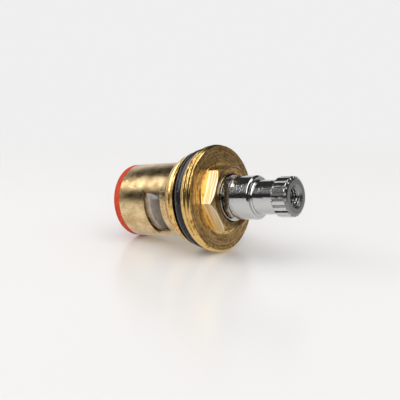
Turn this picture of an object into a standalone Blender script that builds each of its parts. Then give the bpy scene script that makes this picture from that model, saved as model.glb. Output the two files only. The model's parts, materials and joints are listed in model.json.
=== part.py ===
"""Quarter-turn ceramic disc tap cartridge, as separate pieces.

Every piece is modelled along the cartridge's own axis: height 0 is the open
face of the rubber seal and the splined end is at the top. A parent empty then
lays the cartridge down, so that it rests on its flange rim and seal edge.
Angles are degrees about the axis, and 0 is the side that it rests on.
"""

import math

import bmesh
import bpy
from mathutils import Vector

MM = 0.001

# Facets round a large turned piece, and the facets round a small ring's section
SEGMENTS = 48
RING_SEGMENTS = 32
RING_SECTION_SEGMENTS = 10
# Facets round the cutter that mills the windows
WINDOW_CUTTER_SEGMENTS = 96
# Points on a short arc, such as one end of a port
ARC_STEPS = 8

# Clearance between pieces that seat on each other or turn in each other
FIT = 0.10 * MM

# Disc housing: the brass sleeve with two windows that holds the discs
HOUSING_RADIUS = 8.55 * MM
HOUSING_WALL = 1.0 * MM
HOUSING_LENGTH = 17.0 * MM
HOUSING_CHAMFER = 0.25 * MM
WINDOW_WIDTH = 4.75 * MM
WINDOW_ANGLE = -71.5
WINDOW_CUTTER_RADIUS = 11.4 * MM
WINDOW_REACH = 2.65 * MM
WINDOW_ABOVE_DISC = 0.2 * MM

# Rubber seal in the open end, and the stiff ring behind it
SEAL_INSET = 0.05 * MM
SEAL_WIDTH = 3.3 * MM
SEAL_LIP_HEIGHT = 1.8 * MM
SEAL_LIP_ROUND = 0.35 * MM
SEAL_SPIGOT_HEIGHT = 1.0 * MM
BACKING_RING_HEIGHT = 1.0 * MM
BACKING_RING_INSET = 0.3 * MM

# Ceramic discs, each with two fan-shaped ports and two key notches
FIXED_DISC_HEIGHT = 2.6 * MM
MOVING_DISC_HEIGHT = 2.6 * MM
PORT_INNER_RADIUS = 2.0 * MM
PORT_LAND = 1.65 * MM
PORT_HALF_ANGLE = 32.0
PORT_PAST_WINDOW = 16.0
NOTCH_DEPTH = 0.9 * MM
NOTCH_HALF_ANGLE = 9.0
NOTCH_ANGLE = 24.0
KEY_SLACK_ANGLE = 1.0

# Disc driver: the plastic carrier between the moving disc and the spindle
DRIVER_RING_HEIGHT = 0.95 * MM
DRIVER_RING_ROUND = 0.4 * MM
DRIVER_WAIST_RADIUS = 3.4 * MM
DRIVER_FILLET = 0.5 * MM
DRIVER_COLLAR_INSET = 0.35 * MM
DRIVER_COLLAR_HEIGHT = 1.4 * MM
DRIVER_GAP_HALF_ANGLE = 47.5
DRIVER_PAD_ANGLE = 13.0
DRIVER_PAD_DEPTH = 0.75 * MM
DRIVER_LUG_HEIGHT = 1.4 * MM

# Head: the brass body with the O-ring groove, the threaded rim and the hexagon
SOCKET_DEPTH = 2.2 * MM
SOCKET_WALL = 0.85 * MM
COLLAR_STEP_HEIGHT = 1.5 * MM
COLLAR_STEP_RISE = 0.75 * MM
COLLAR_HEIGHT = 3.15 * MM
COLLAR_TOP_RISE = 1.3 * MM
GROOVE_WIDTH = 2.85 * MM
RIM_RADIUS = 12.0 * MM
RIM_BEVEL = 0.6 * MM
RIM_BEVEL_HEIGHT = 1.2 * MM
RIM_HEIGHT = 2.8 * MM
RIM_CHAMFER = 0.35 * MM
BOSS_RADIUS = 8.1 * MM
BOSS_HEIGHT = 0.2 * MM
HEX_ACROSS_FLATS = 13.5 * MM
HEX_HEIGHT = 3.05 * MM
HEX_FACE_RADIUS = 6.9 * MM
HEX_CHAMFER_HEIGHT = 0.85 * MM
HEX_CORNER_ANGLE = 30.0
BORE_CHAMFER = 0.25 * MM

# The rim's thread: a worn M24 x 1 profile, shallower than a new one
THREAD_PITCH = 1.0 * MM
THREAD_DEPTH = 0.35 * MM
THREAD_HALF_WIDTH = 0.29 * MM
THREAD_CLEAR_OF_RIM = 0.2 * MM
# How far past the rim's edge the thread's valley runs on the side the piece rests on
THREAD_PAST_EDGE = 0.65 * MM
# How far the middle of the facet that the rim rests on stays off the table
REST_HOLLOW = 0.02 * MM

# O-ring in the head's groove, lying against the back of the rim
BODY_RING_STAND = 0.5 * MM
BODY_RING_SECTION = 2.2 * MM

# Thrust washer between the spindle's flange and the head
THRUST_WASHER_HEIGHT = 0.8 * MM

# Spindle
JOURNAL_RADIUS = 5.13 * MM
JOURNAL_STAND = 0.27 * MM
STOP_LUG_DEPTH = 0.95 * MM
FLANGE_HEIGHT = 1.9 * MM
TONGUE_WIDTH = 2.8 * MM
TONGUE_LENGTH = 9.0 * MM
TONGUE_HEIGHT = 1.0 * MM
SPINDLE_RING_SECTION = 1.2 * MM
SPINDLE_RING_SPACING = 2.8 * MM
SPINDLE_GROOVE_WIDTH = 1.6 * MM
SHANK_RADIUS = 4.8 * MM
SHANK_LENGTH = 5.0 * MM
SHANK_CHAMFER = 0.35 * MM
NECK_RADIUS = 3.72 * MM
NECK_LENGTH = 5.15 * MM
SPLINE_RADIUS = 4.31 * MM
SPLINE_LENGTH = 3.85 * MM
SPLINE_DEPTH = 0.42 * MM
SPLINE_TEETH = 20
SPLINE_ROOT_SHARE = 0.16
SPLINE_CREST_SHARE = 0.08
SPLINE_BACK_CHAMFER = 0.3 * MM
SPLINE_END_RADIUS = 3.62 * MM
SPLINE_END_CHAMFER = 0.5 * MM
SCREW_HOLE_RADIUS = 1.65 * MM
SCREW_HOLE_DEPTH = 9.0 * MM
SCREW_HOLE_MOUTH_RADIUS = 2.55 * MM
DRILL_POINT_ANGLE = 118.0

# Retaining clip: a flat horseshoe pushed into the spindle's groove
CLIP_THICKNESS = 1.05 * MM
CLIP_CORE_RADIUS = 3.2 * MM
CLIP_HALF_WIDTH = 4.18 * MM
CLIP_BRIDGE = 4.62 * MM
CLIP_ARM_REACH = 2.9 * MM
CLIP_FLOAT = 0.8 * MM
CLIP_EAR_WIDTH = 1.1 * MM
CLIP_EAR_STAND = 0.3 * MM
CLIP_CORNER_CUT = 1.7 * MM
CLIP_ANGLE = -9.0

# Quarter turn, the half width of a stop lug, and what stays free at each stop
TRAVEL = 90.0
LUG_HALF_ANGLE = 20.0
STOP_SLACK_ANGLE = 1.0
STOP_RIB_ANGLE = 150.0

# Places along the axis, worked out from the sizes above
housing_bottom = SEAL_LIP_HEIGHT + FIT
housing_top = housing_bottom + HOUSING_LENGTH
housing_bore = HOUSING_RADIUS - HOUSING_WALL
seal_radius = HOUSING_RADIUS - SEAL_INSET
inlet_radius = seal_radius - SEAL_WIDTH
backing_ring_radius = inlet_radius + BACKING_RING_INSET
disc_radius = housing_bore - FIT
port_outer_radius = disc_radius - PORT_LAND
driver_radius = disc_radius - FIT
driver_collar_radius = driver_radius - DRIVER_COLLAR_INSET
backing_ring_bottom = SEAL_LIP_HEIGHT + SEAL_SPIGOT_HEIGHT + FIT
fixed_disc_bottom = backing_ring_bottom + BACKING_RING_HEIGHT + FIT
moving_disc_bottom = fixed_disc_bottom + FIXED_DISC_HEIGHT + FIT
driver_bottom = moving_disc_bottom + MOVING_DISC_HEIGHT + FIT
window_bottom = driver_bottom + WINDOW_ABOVE_DISC

socket_floor = housing_top + FIT
socket_radius = HOUSING_RADIUS + FIT
collar_radius = socket_radius + SOCKET_WALL
collar_step_radius = collar_radius + COLLAR_STEP_RISE
collar_top_radius = collar_radius + COLLAR_TOP_RISE
head_bottom = socket_floor - SOCKET_DEPTH
groove_bottom = head_bottom + COLLAR_HEIGHT
rim_bottom = groove_bottom + GROOVE_WIDTH
rim_edge = rim_bottom + RIM_BEVEL_HEIGHT
flange_front = rim_bottom + RIM_HEIGHT
hex_top = flange_front + HEX_HEIGHT
bore_radius = JOURNAL_RADIUS + FIT
body_ring_radius = collar_top_radius + BODY_RING_STAND
body_ring_centre = body_ring_radius - BODY_RING_SECTION / 2
body_ring_height = rim_bottom - FIT - BODY_RING_SECTION / 2
groove_radius = body_ring_radius - BODY_RING_SECTION - FIT

thrust_washer_bottom = socket_floor - FIT - THRUST_WASHER_HEIGHT
spindle_flange_top = thrust_washer_bottom - FIT
spindle_flange_bottom = spindle_flange_top - FLANGE_HEIGHT
driver_top = spindle_flange_bottom - FIT
spindle_bottom = spindle_flange_bottom - TONGUE_HEIGHT
journal_top = hex_top + JOURNAL_STAND
clip_bottom = hex_top + CLIP_FLOAT
clip_top = clip_bottom + CLIP_THICKNESS
shank_bottom = clip_top + FIT
shank_top = shank_bottom + SHANK_LENGTH
spline_bottom = shank_top + NECK_LENGTH
spindle_top = spline_bottom + SPLINE_LENGTH

# The spindle's ring fills the gap between the groove's core and the head's bore
spindle_ring_centre = JOURNAL_RADIUS - SPINDLE_RING_SECTION / 2
spindle_groove_radius = JOURNAL_RADIUS - SPINDLE_RING_SECTION - FIT
journal_middle = (spindle_flange_top + journal_top) / 2
spindle_ring_heights = {
    "spindle_o_ring_lower": journal_middle - SPINDLE_RING_SPACING / 2,
    "spindle_o_ring_upper": journal_middle + SPINDLE_RING_SPACING / 2,
}

# The stop lugs run between the head's ribs, a quarter turn from stop to stop
stop_rib_half_angle = (180.0 - TRAVEL) / 2 - LUG_HALF_ANGLE - STOP_SLACK_ANGLE
lug_angle = STOP_RIB_ANGLE + stop_rib_half_angle + LUG_HALF_ANGLE + STOP_SLACK_ANGLE
lug_radius = housing_bore - 2 * FIT
flange_radius = lug_radius - STOP_LUG_DEPTH
stop_rib_outer_radius = housing_bore - FIT
stop_rib_inner_radius = flange_radius + FIT
stop_rib_bottom = spindle_flange_bottom + FIT

# The fixed disc's ports open beside the windows. The moving disc shuts them at rest.
fixed_port_angle = WINDOW_ANGLE + PORT_PAST_WINDOW
moving_port_angle = fixed_port_angle - TRAVEL

# Lying down: the rim's edge and the seal's edge touch the same level surface
facet_half_angle = math.pi / SEGMENTS
facet_reach = math.cos(facet_half_angle)
tilt = math.atan((RIM_RADIUS - seal_radius) * facet_reach / (rim_edge - SEAL_LIP_ROUND))


def material(name, colour, metallic, roughness):
    """A plain Principled BSDF finish."""
    finish = bpy.data.materials.new(name)
    finish.use_nodes = True
    shader = finish.node_tree.nodes["Principled BSDF"]
    shader.inputs["Base Color"].default_value = (*colour, 1.0)
    shader.inputs["Metallic"].default_value = metallic
    shader.inputs["Roughness"].default_value = roughness
    return finish


def add_to(collection, parent, name, mesh, finish=None):
    """Put a mesh in the scene as an object on the cartridge's axis."""
    piece = bpy.data.objects.new(name, mesh)
    collection.objects.link(piece)
    piece.parent = parent
    if finish:
        mesh.materials.append(finish)
    return piece


def turned_mesh(name, profile):
    """The edges of a closed profile of (radius, height), outer side listed downwards."""
    mesh = bpy.data.meshes.new(name)
    on_axis = profile[0][0] == 0
    count = len(profile)
    edges = [(i, i + 1) for i in range(count - 1)]
    if not on_axis:
        edges.append((count - 1, 0))
    mesh.from_pydata([(radius, 0.0, height) for radius, height in profile], edges, [])
    return mesh


def turn(piece, segments=SEGMENTS):
    """Revolve a piece's profile, with a flat facet facing the side it rests on."""
    screw = piece.modifiers.new("turned", "SCREW")
    screw.steps = segments
    screw.render_steps = segments
    screw.use_merge_vertices = True
    screw.merge_threshold = 0.01 * MM
    screw.use_smooth_shade = True
    piece.rotation_euler.z = math.pi / segments
    return piece


def turned(name, profile, finish, parent, segments=SEGMENTS):
    """A turned piece: its profile revolved about the cartridge's axis."""
    piece = add_to(parts, parent, name, turned_mesh(name, profile), finish)
    return turn(piece, segments)


def hollow_resting_facet(piece, radius):
    """Hollow the facet it rests on beyond a radius, so it stands on the facet's ends."""
    depsgraph = bpy.context.evaluated_depsgraph_get()
    mesh = bpy.data.meshes.new_from_object(piece.evaluated_get(depsgraph))
    down = Vector((math.cos(facet_half_angle), -math.sin(facet_half_angle), 0.0))
    across = Vector((-down.y, down.x, 0.0))
    solid = bmesh.new()
    solid.from_mesh(mesh)
    facet = set()
    for face in solid.faces:
        middle = face.calc_center_median()
        if middle.dot(down) > radius and abs(middle.dot(across)) < FIT:
            facet.update([face, *face.edges, *face.verts])
    cut = bmesh.ops.bisect_plane(
        solid, geom=list(facet), dist=0.0001 * MM, plane_co=(0.0, 0.0, 0.0), plane_no=across
    )
    for vertex in cut["geom_cut"]:
        if isinstance(vertex, bmesh.types.BMVert) and vertex.co.dot(down) > radius:
            vertex.co -= REST_HOLLOW * down
    solid.to_mesh(mesh)
    solid.free()
    piece.modifiers.clear()
    piece.data = mesh
    mesh.name = piece.name


def arc(radius, middle, half_angle, steps=ARC_STEPS):
    """Points along an arc about the axis, from one end to the other."""
    angles = [middle + half_angle * (2 * i / steps - 1) for i in range(steps + 1)]
    return [
        (radius * math.cos(math.radians(a)), radius * math.sin(math.radians(a)))
        for a in angles
    ]


def circle(radius, segments=SEGMENTS):
    """Points round a full circle, with a flat facing the side the piece rests on."""
    steps = [math.tau * (i + 0.5) / segments for i in range(segments)]
    return [(radius * math.cos(a), radius * math.sin(a)) for a in steps]


def fan(inner_radius, outer_radius, middle, half_angle):
    """The outline of a ring's sector: a port, a key or a stop."""
    outer = arc(outer_radius, middle, half_angle)
    inner = arc(inner_radius, middle, half_angle)
    return outer + inner[::-1]


def notched_circle(radius, depth, middle, half_angle):
    """A circle with two opposite notches cut into its rim."""
    points = []
    for turn_by in (0.0, 180.0):
        points += arc(radius - depth, middle + turn_by, half_angle, steps=4)
        points += arc(radius, middle + turn_by + 90.0, 90.0 - half_angle, steps=20)
    return points


def rectangle(width, length, angle):
    """A rectangle centred on the axis, its length along the given angle."""
    turn_by = math.radians(angle)
    corners = [(length, -width), (length, width), (-length, width), (-length, -width)]
    return [
        (
            (x * math.cos(turn_by) - y * math.sin(turn_by)) / 2,
            (x * math.sin(turn_by) + y * math.cos(turn_by)) / 2,
        )
        for x, y in corners
    ]


def prism_mesh(name, outlines, bottom, top):
    """A straight-sided solid. The first outline is its outside, the others are holes."""
    curve = bpy.data.curves.new(name, "CURVE")
    curve.dimensions = "2D"
    curve.fill_mode = "BOTH"
    curve.extrude = (top - bottom) / 2
    for outline in outlines:
        spline = curve.splines.new("POLY")
        spline.points.add(len(outline) - 1)
        for point, (x, y) in zip(spline.points, outline):
            point.co = (x, y, 0.0, 1.0)
        spline.use_cyclic_u = True
    guide = bpy.data.objects.new(name + "_outline", curve)
    cutters.objects.link(guide)
    depsgraph = bpy.context.evaluated_depsgraph_get()
    mesh = bpy.data.meshes.new_from_object(guide.evaluated_get(depsgraph))
    bpy.data.objects.remove(guide)

    solid = bmesh.new()
    solid.from_mesh(mesh)
    bmesh.ops.remove_doubles(solid, verts=solid.verts, dist=0.001 * MM)
    bmesh.ops.translate(solid, verts=solid.verts, vec=(0.0, 0.0, (bottom + top) / 2))
    bmesh.ops.recalc_face_normals(solid, faces=solid.faces)
    solid.to_mesh(mesh)
    solid.free()
    mesh.name = name
    mesh.materials.clear()
    return mesh


def prism(name, outlines, bottom, top, finish, parent):
    """A flat or straight-sided piece."""
    mesh = prism_mesh(name, outlines, bottom, top)
    return add_to(parts, parent, name, mesh, finish)


def tool(name, mesh, parent):
    """A shape that only cuts a piece or joins it, and isn't a piece itself."""
    cutter = add_to(cutters, parent, name, mesh)
    cutter.hide_render = True
    cutter.display_type = "WIRE"
    return cutter


def combine(piece, cutter, operation):
    """Cut a tool from a piece, or join the two."""
    boolean = piece.modifiers.new(cutter.name, "BOOLEAN")
    boolean.object = cutter
    boolean.operation = operation
    boolean.solver = "EXACT"


def combine_prism(piece, name, outlines, bottom, top, operation):
    """Cut or join a straight-sided shape."""
    mesh = prism_mesh(name, outlines, bottom, top)
    combine(piece, tool(name, mesh, piece.parent), operation)


def ring(name, centre_radius, section, height, segments, finish, parent):
    """An O-ring of round section."""
    bpy.ops.mesh.primitive_torus_add(
        major_radius=centre_radius,
        minor_radius=section / 2,
        major_segments=segments,
        minor_segments=RING_SECTION_SEGMENTS,
    )
    piece = bpy.context.object
    for collection in piece.users_collection:
        collection.objects.unlink(piece)
    parts.objects.link(piece)
    piece.name = name
    piece.data.name = name
    piece.parent = parent
    piece.location = (0.0, 0.0, height)
    piece.rotation_euler = (0.0, 0.0, math.pi / segments)
    piece.data.shade_smooth()
    piece.data.materials.append(finish)
    return piece


def seal_ring():
    """The rubber seal: a rounded lip under the housing and a spigot inside it."""
    lip_inset = SEAL_LIP_ROUND * (1 - math.sqrt(0.5))
    profile = [
        (inlet_radius, SEAL_LIP_HEIGHT + SEAL_SPIGOT_HEIGHT),
        (disc_radius, SEAL_LIP_HEIGHT + SEAL_SPIGOT_HEIGHT),
        (disc_radius, SEAL_LIP_HEIGHT),
        (seal_radius, SEAL_LIP_HEIGHT),
        (seal_radius, SEAL_LIP_ROUND),
        (seal_radius - lip_inset, lip_inset),
        (seal_radius - SEAL_LIP_ROUND, 0.0),
        (inlet_radius + SEAL_LIP_ROUND, 0.0),
        (inlet_radius + lip_inset, lip_inset),
        (inlet_radius, SEAL_LIP_ROUND),
    ]
    turned("seal_ring", profile, red_silicone, resting_axis)


def seal_backing_ring():
    """The stiff plastic ring that holds the seal against the fixed disc."""
    top = backing_ring_bottom + BACKING_RING_HEIGHT
    profile = [
        (backing_ring_radius, top),
        (disc_radius, top),
        (disc_radius, backing_ring_bottom),
        (backing_ring_radius, backing_ring_bottom),
    ]
    turned("seal_backing_ring", profile, white_plastic, resting_axis)


def disc_housing():
    """The sleeve with its two milled windows and the keys that hold the fixed disc."""
    profile = [
        (housing_bore, housing_top),
        (HOUSING_RADIUS - HOUSING_CHAMFER, housing_top),
        (HOUSING_RADIUS, housing_top - HOUSING_CHAMFER),
        (HOUSING_RADIUS, housing_bottom + HOUSING_CHAMFER),
        (HOUSING_RADIUS - HOUSING_CHAMFER, housing_bottom),
        (housing_bore, housing_bottom),
    ]
    housing = turned("disc_housing", profile, satin_brass, resting_axis)
    for number, turn_by in enumerate((0.0, 180.0), start=1):
        angle = math.radians(WINDOW_ANGLE + turn_by)
        distance = WINDOW_CUTTER_RADIUS + housing_bore - WINDOW_REACH
        bpy.ops.mesh.primitive_cylinder_add(
            vertices=WINDOW_CUTTER_SEGMENTS,
            radius=WINDOW_CUTTER_RADIUS,
            depth=WINDOW_WIDTH,
        )
        cutter = bpy.context.object
        cutter.name = f"window_cutter_{number}"
        for collection in cutter.users_collection:
            collection.objects.unlink(cutter)
        cutters.objects.link(cutter)
        cutter.parent = resting_axis
        cutter.location = (
            distance * math.cos(angle),
            distance * math.sin(angle),
            window_bottom + WINDOW_WIDTH / 2,
        )
        cutter.rotation_euler = (0.0, 0.0, angle)
        cutter.hide_render = True
        cutter.display_type = "WIRE"
        combine(housing, cutter, "DIFFERENCE")

        key = fan(
            housing_bore - NOTCH_DEPTH + FIT,
            HOUSING_RADIUS - HOUSING_WALL / 2,
            NOTCH_ANGLE + turn_by,
            NOTCH_HALF_ANGLE - KEY_SLACK_ANGLE,
        )
        key_bottom = fixed_disc_bottom + FIT
        key_top = moving_disc_bottom - 2 * FIT
        combine_prism(housing, f"disc_key_{number}", [key], key_bottom, key_top, "UNION")


def ceramic_disc(name, port_angle, notch_angle, bottom, height, finish, parent):
    """A lapped disc with two fan-shaped ports and a notch for each key."""
    outline = notched_circle(disc_radius, NOTCH_DEPTH, notch_angle, NOTCH_HALF_ANGLE)
    ports = [
        fan(PORT_INNER_RADIUS, port_outer_radius, port_angle + turn_by, PORT_HALF_ANGLE)
        for turn_by in (0.0, 180.0)
    ]
    prism(name, [outline, *ports], bottom, bottom + height, finish, parent)


def driver_gap(middle):
    """The outline of the space between the driver's two webs, narrower at their pads."""
    pad_start = driver_radius - DRIVER_PAD_DEPTH
    inner = arc(DRIVER_WAIST_RADIUS, middle, DRIVER_GAP_HALF_ANGLE)
    shoulders = arc(pad_start, middle, DRIVER_GAP_HALF_ANGLE, steps=1)
    half_angle = DRIVER_GAP_HALF_ANGLE - DRIVER_PAD_ANGLE
    outer = arc(driver_radius + DRIVER_PAD_DEPTH, middle, half_angle)
    return [shoulders[0], *outer, shoulders[1], *inner[::-1]]


def disc_driver():
    """The carrier: two webs with rim pads and lugs, a waist and a slotted collar."""
    ring_top = driver_bottom + DRIVER_RING_HEIGHT
    collar_bottom = driver_top - DRIVER_COLLAR_HEIGHT
    round_inset = DRIVER_RING_ROUND * (1 - math.sqrt(0.5))
    profile = [
        (0.0, driver_top),
        (driver_collar_radius, driver_top),
        (driver_collar_radius, collar_bottom),
        (DRIVER_WAIST_RADIUS + DRIVER_FILLET, collar_bottom),
        (DRIVER_WAIST_RADIUS, collar_bottom - DRIVER_FILLET),
        (DRIVER_WAIST_RADIUS, ring_top + DRIVER_FILLET),
        (DRIVER_WAIST_RADIUS + DRIVER_FILLET, ring_top),
        (driver_radius - DRIVER_RING_ROUND, ring_top),
        (driver_radius - round_inset, ring_top - round_inset),
        (driver_radius, ring_top - DRIVER_RING_ROUND),
        (driver_radius, driver_bottom),
        (0.0, driver_bottom),
    ]
    driver = turned("disc_driver", profile, white_plastic, turning_axis)
    for number, turn_by in enumerate((0.0, 180.0), start=1):
        port_angle = moving_port_angle + turn_by
        combine_prism(
            driver,
            f"driver_gap_{number}",
            [driver_gap(port_angle)],
            driver_bottom - FIT,
            ring_top + DRIVER_FILLET / 2,
            "DIFFERENCE",
        )
        lug = fan(
            disc_radius - NOTCH_DEPTH + FIT,
            driver_radius,
            port_angle + 90.0,
            NOTCH_HALF_ANGLE - KEY_SLACK_ANGLE,
        )
        lug_bottom = driver_bottom - DRIVER_LUG_HEIGHT
        lug_top = driver_bottom + DRIVER_RING_HEIGHT / 2
        combine_prism(driver, f"driver_lug_{number}", [lug], lug_bottom, lug_top, "UNION")
    slot = rectangle(TONGUE_WIDTH + 2 * FIT, TONGUE_LENGTH + 2 * FIT, moving_port_angle + 90.0)
    combine_prism(
        driver, "driver_slot", [slot], spindle_bottom - FIT, driver_top + FIT, "DIFFERENCE"
    )


def thread_cutter_mesh(name):
    """A right-hand helical wedge, whose edge runs along the valley of the rim's thread."""
    reach = THREAD_DEPTH + THREAD_CLEAR_OF_RIM
    half_width = THREAD_HALF_WIDTH * reach / THREAD_DEPTH
    section = [
        (RIM_RADIUS - THREAD_DEPTH, 0.0),
        (RIM_RADIUS + THREAD_CLEAR_OF_RIM, half_width),
        (RIM_RADIUS + THREAD_CLEAR_OF_RIM, -half_width),
    ]
    valley = rim_edge + THREAD_PAST_EDGE
    turns_below = math.ceil((valley - rim_bottom + half_width) / THREAD_PITCH)
    turns_above = math.ceil((flange_front + half_width - valley) / THREAD_PITCH)
    points = []
    for step in range(-turns_below * SEGMENTS, turns_above * SEGMENTS + 1):
        turns = (step + 0.5) / SEGMENTS
        for radius, height in section:
            points.append(
                (
                    radius * math.cos(math.tau * turns),
                    radius * math.sin(math.tau * turns),
                    valley + turns * THREAD_PITCH + height,
                )
            )
    faces = [(0, 1, 2), (len(points) - 1, len(points) - 2, len(points) - 3)]
    for start in range(0, len(points) - 3, 3):
        for side in range(3):
            after = (side + 1) % 3
            faces.append((start + after, start + side, start + side + 3, start + after + 3))
    mesh = bpy.data.meshes.new(name)
    mesh.from_pydata(points, [], faces)
    solid = bmesh.new()
    solid.from_mesh(mesh)
    bmesh.ops.recalc_face_normals(solid, faces=solid.faces)
    solid.to_mesh(mesh)
    solid.free()
    return mesh


def head_body():
    """The head: socket, collar, O-ring groove, threaded rim, milled hexagon and stops."""
    profile = [
        (bore_radius + BORE_CHAMFER, hex_top),
        (HEX_FACE_RADIUS, hex_top),
        (BOSS_RADIUS, hex_top - HEX_CHAMFER_HEIGHT),
        (BOSS_RADIUS, flange_front),
        (RIM_RADIUS - RIM_CHAMFER, flange_front),
        (RIM_RADIUS, flange_front - RIM_CHAMFER),
        (RIM_RADIUS, rim_edge),
        (RIM_RADIUS - RIM_BEVEL, rim_bottom),
        (groove_radius, rim_bottom),
        (groove_radius, groove_bottom),
        (collar_top_radius, groove_bottom),
        (collar_step_radius, head_bottom + COLLAR_STEP_HEIGHT),
        (collar_radius, head_bottom),
        (socket_radius, head_bottom),
        (socket_radius, socket_floor),
        (bore_radius, socket_floor),
        (bore_radius, hex_top - BORE_CHAMFER),
    ]
    head = turned("head_body", profile, turned_brass, resting_axis)
    hollow_resting_facet(head, groove_radius)
    thread_cutter = tool("thread_cutter", thread_cutter_mesh("thread_cutter"), resting_axis)
    combine(head, thread_cutter, "DIFFERENCE")

    hex_corner_radius = HEX_ACROSS_FLATS / 2 / math.cos(math.radians(30.0))
    hexagon = [
        (
            hex_corner_radius * math.cos(math.radians(HEX_CORNER_ANGLE + 60.0 * i)),
            hex_corner_radius * math.sin(math.radians(HEX_CORNER_ANGLE + 60.0 * i)),
        )
        for i in range(6)
    ]
    combine_prism(
        head,
        "hexagon_mill",
        [circle(RIM_RADIUS), hexagon],
        flange_front + BOSS_HEIGHT,
        hex_top + HEX_HEIGHT,
        "DIFFERENCE",
    )
    for number, turn_by in enumerate((0.0, 180.0), start=1):
        rib = fan(
            stop_rib_inner_radius,
            stop_rib_outer_radius,
            STOP_RIB_ANGLE + turn_by,
            stop_rib_half_angle,
        )
        rib_top = socket_floor + THRUST_WASHER_HEIGHT
        combine_prism(head, f"stop_rib_{number}", [rib], stop_rib_bottom, rib_top, "UNION")


def thrust_washer():
    """The slippery washer that the spindle's flange turns against."""
    top = thrust_washer_bottom + THRUST_WASHER_HEIGHT
    profile = [
        (bore_radius, top),
        (flange_radius, top),
        (flange_radius, thrust_washer_bottom),
        (bore_radius, thrust_washer_bottom),
    ]
    turned("thrust_washer", profile, white_plastic, resting_axis)


def spline_outline():
    """The valleys and crests round the splined end, as one toothed outline."""
    points = []
    pitch = math.tau / SPLINE_TEETH
    root_radius = SPLINE_RADIUS - SPLINE_DEPTH
    crest_radius = SPLINE_RADIUS + SPLINE_DEPTH
    for tooth in range(SPLINE_TEETH):
        for radius, share in (
            (root_radius, -SPLINE_ROOT_SHARE / 2),
            (root_radius, SPLINE_ROOT_SHARE / 2),
            (crest_radius, (1 - SPLINE_CREST_SHARE) / 2),
            (crest_radius, (1 + SPLINE_CREST_SHARE) / 2),
        ):
            angle = pitch * (tooth + share)
            points.append((radius * math.cos(angle), radius * math.sin(angle)))
    return points


def spindle():
    """The spindle, from the drive tongue up to the splined end with its screw hole."""
    hole_bottom = spindle_top - SCREW_HOLE_DEPTH
    drill_point = SCREW_HOLE_RADIUS / math.tan(math.radians(DRILL_POINT_ANGLE / 2))
    mouth_depth = SCREW_HOLE_MOUTH_RADIUS - SCREW_HOLE_RADIUS
    profile = [
        (0.0, hole_bottom - drill_point),
        (SCREW_HOLE_RADIUS, hole_bottom),
        (SCREW_HOLE_RADIUS, spindle_top - mouth_depth),
        (SCREW_HOLE_MOUTH_RADIUS, spindle_top),
        (SPLINE_END_RADIUS, spindle_top),
        (SPLINE_RADIUS, spindle_top - SPLINE_END_CHAMFER),
        (SPLINE_RADIUS, spline_bottom + SPLINE_BACK_CHAMFER),
        (SPLINE_RADIUS - SPLINE_BACK_CHAMFER, spline_bottom),
        (NECK_RADIUS, spline_bottom),
        (NECK_RADIUS, shank_top),
        (SHANK_RADIUS - SHANK_CHAMFER, shank_top),
        (SHANK_RADIUS, shank_top - SHANK_CHAMFER),
        (SHANK_RADIUS, shank_bottom),
        (CLIP_CORE_RADIUS, shank_bottom),
        (CLIP_CORE_RADIUS, journal_top),
        (JOURNAL_RADIUS, journal_top),
    ]
    for height in sorted(spindle_ring_heights.values(), reverse=True):
        profile += [
            (JOURNAL_RADIUS, height + SPINDLE_GROOVE_WIDTH / 2),
            (spindle_groove_radius, height + SPINDLE_GROOVE_WIDTH / 2),
            (spindle_groove_radius, height - SPINDLE_GROOVE_WIDTH / 2),
            (JOURNAL_RADIUS, height - SPINDLE_GROOVE_WIDTH / 2),
        ]
    profile += [
        (JOURNAL_RADIUS, spindle_flange_top),
        (flange_radius, spindle_flange_top),
        (flange_radius, spindle_flange_bottom),
        (0.0, spindle_flange_bottom),
    ]
    shaft = turned("spindle", profile, chromed_brass, turning_axis)
    combine_prism(
        shaft,
        "spline_broach",
        [circle(SPLINE_RADIUS + 2 * SPLINE_DEPTH), spline_outline()],
        spline_bottom - SPLINE_DEPTH,
        spindle_top + SPLINE_DEPTH,
        "DIFFERENCE",
    )
    tongue = rectangle(TONGUE_WIDTH, TONGUE_LENGTH, moving_port_angle + 90.0)
    tongue_top = spindle_flange_bottom + FLANGE_HEIGHT / 2
    combine_prism(shaft, "drive_tongue", [tongue], spindle_bottom, tongue_top, "UNION")
    for number, turn_by in enumerate((0.0, 180.0), start=1):
        lug = fan(flange_radius / 2, lug_radius, lug_angle + turn_by, LUG_HALF_ANGLE)
        combine_prism(
            shaft,
            f"stop_lug_{number}",
            [lug],
            spindle_flange_bottom + 2 * FIT,
            spindle_flange_top - FIT,
            "UNION",
        )


def clip_outline():
    """A horseshoe: straight bridge, one ear, one cut corner and a slot for the core."""
    slot = CLIP_CORE_RADIUS + FIT
    ear_end = CLIP_EAR_WIDTH - CLIP_HALF_WIDTH
    throat = arc(slot, 270.0, 90.0, steps=12)
    return [
        (-slot, CLIP_ARM_REACH),
        *throat,
        (slot, CLIP_ARM_REACH),
        (CLIP_HALF_WIDTH, CLIP_ARM_REACH),
        (CLIP_HALF_WIDTH, CLIP_CORNER_CUT - CLIP_BRIDGE),
        (CLIP_HALF_WIDTH - CLIP_CORNER_CUT, -CLIP_BRIDGE),
        (ear_end, -CLIP_BRIDGE),
        (ear_end, -CLIP_BRIDGE - CLIP_EAR_STAND),
        (-CLIP_HALF_WIDTH, -CLIP_BRIDGE - CLIP_EAR_STAND),
        (-CLIP_HALF_WIDTH, CLIP_ARM_REACH),
    ]


def retaining_clip():
    """The flat horseshoe that keeps the spindle from dropping into the head."""
    clip = prism(
        "retaining_clip", [clip_outline()], clip_bottom, clip_top, clip_steel, turning_axis
    )
    clip.rotation_euler.z = math.radians(CLIP_ANGLE)


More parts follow.
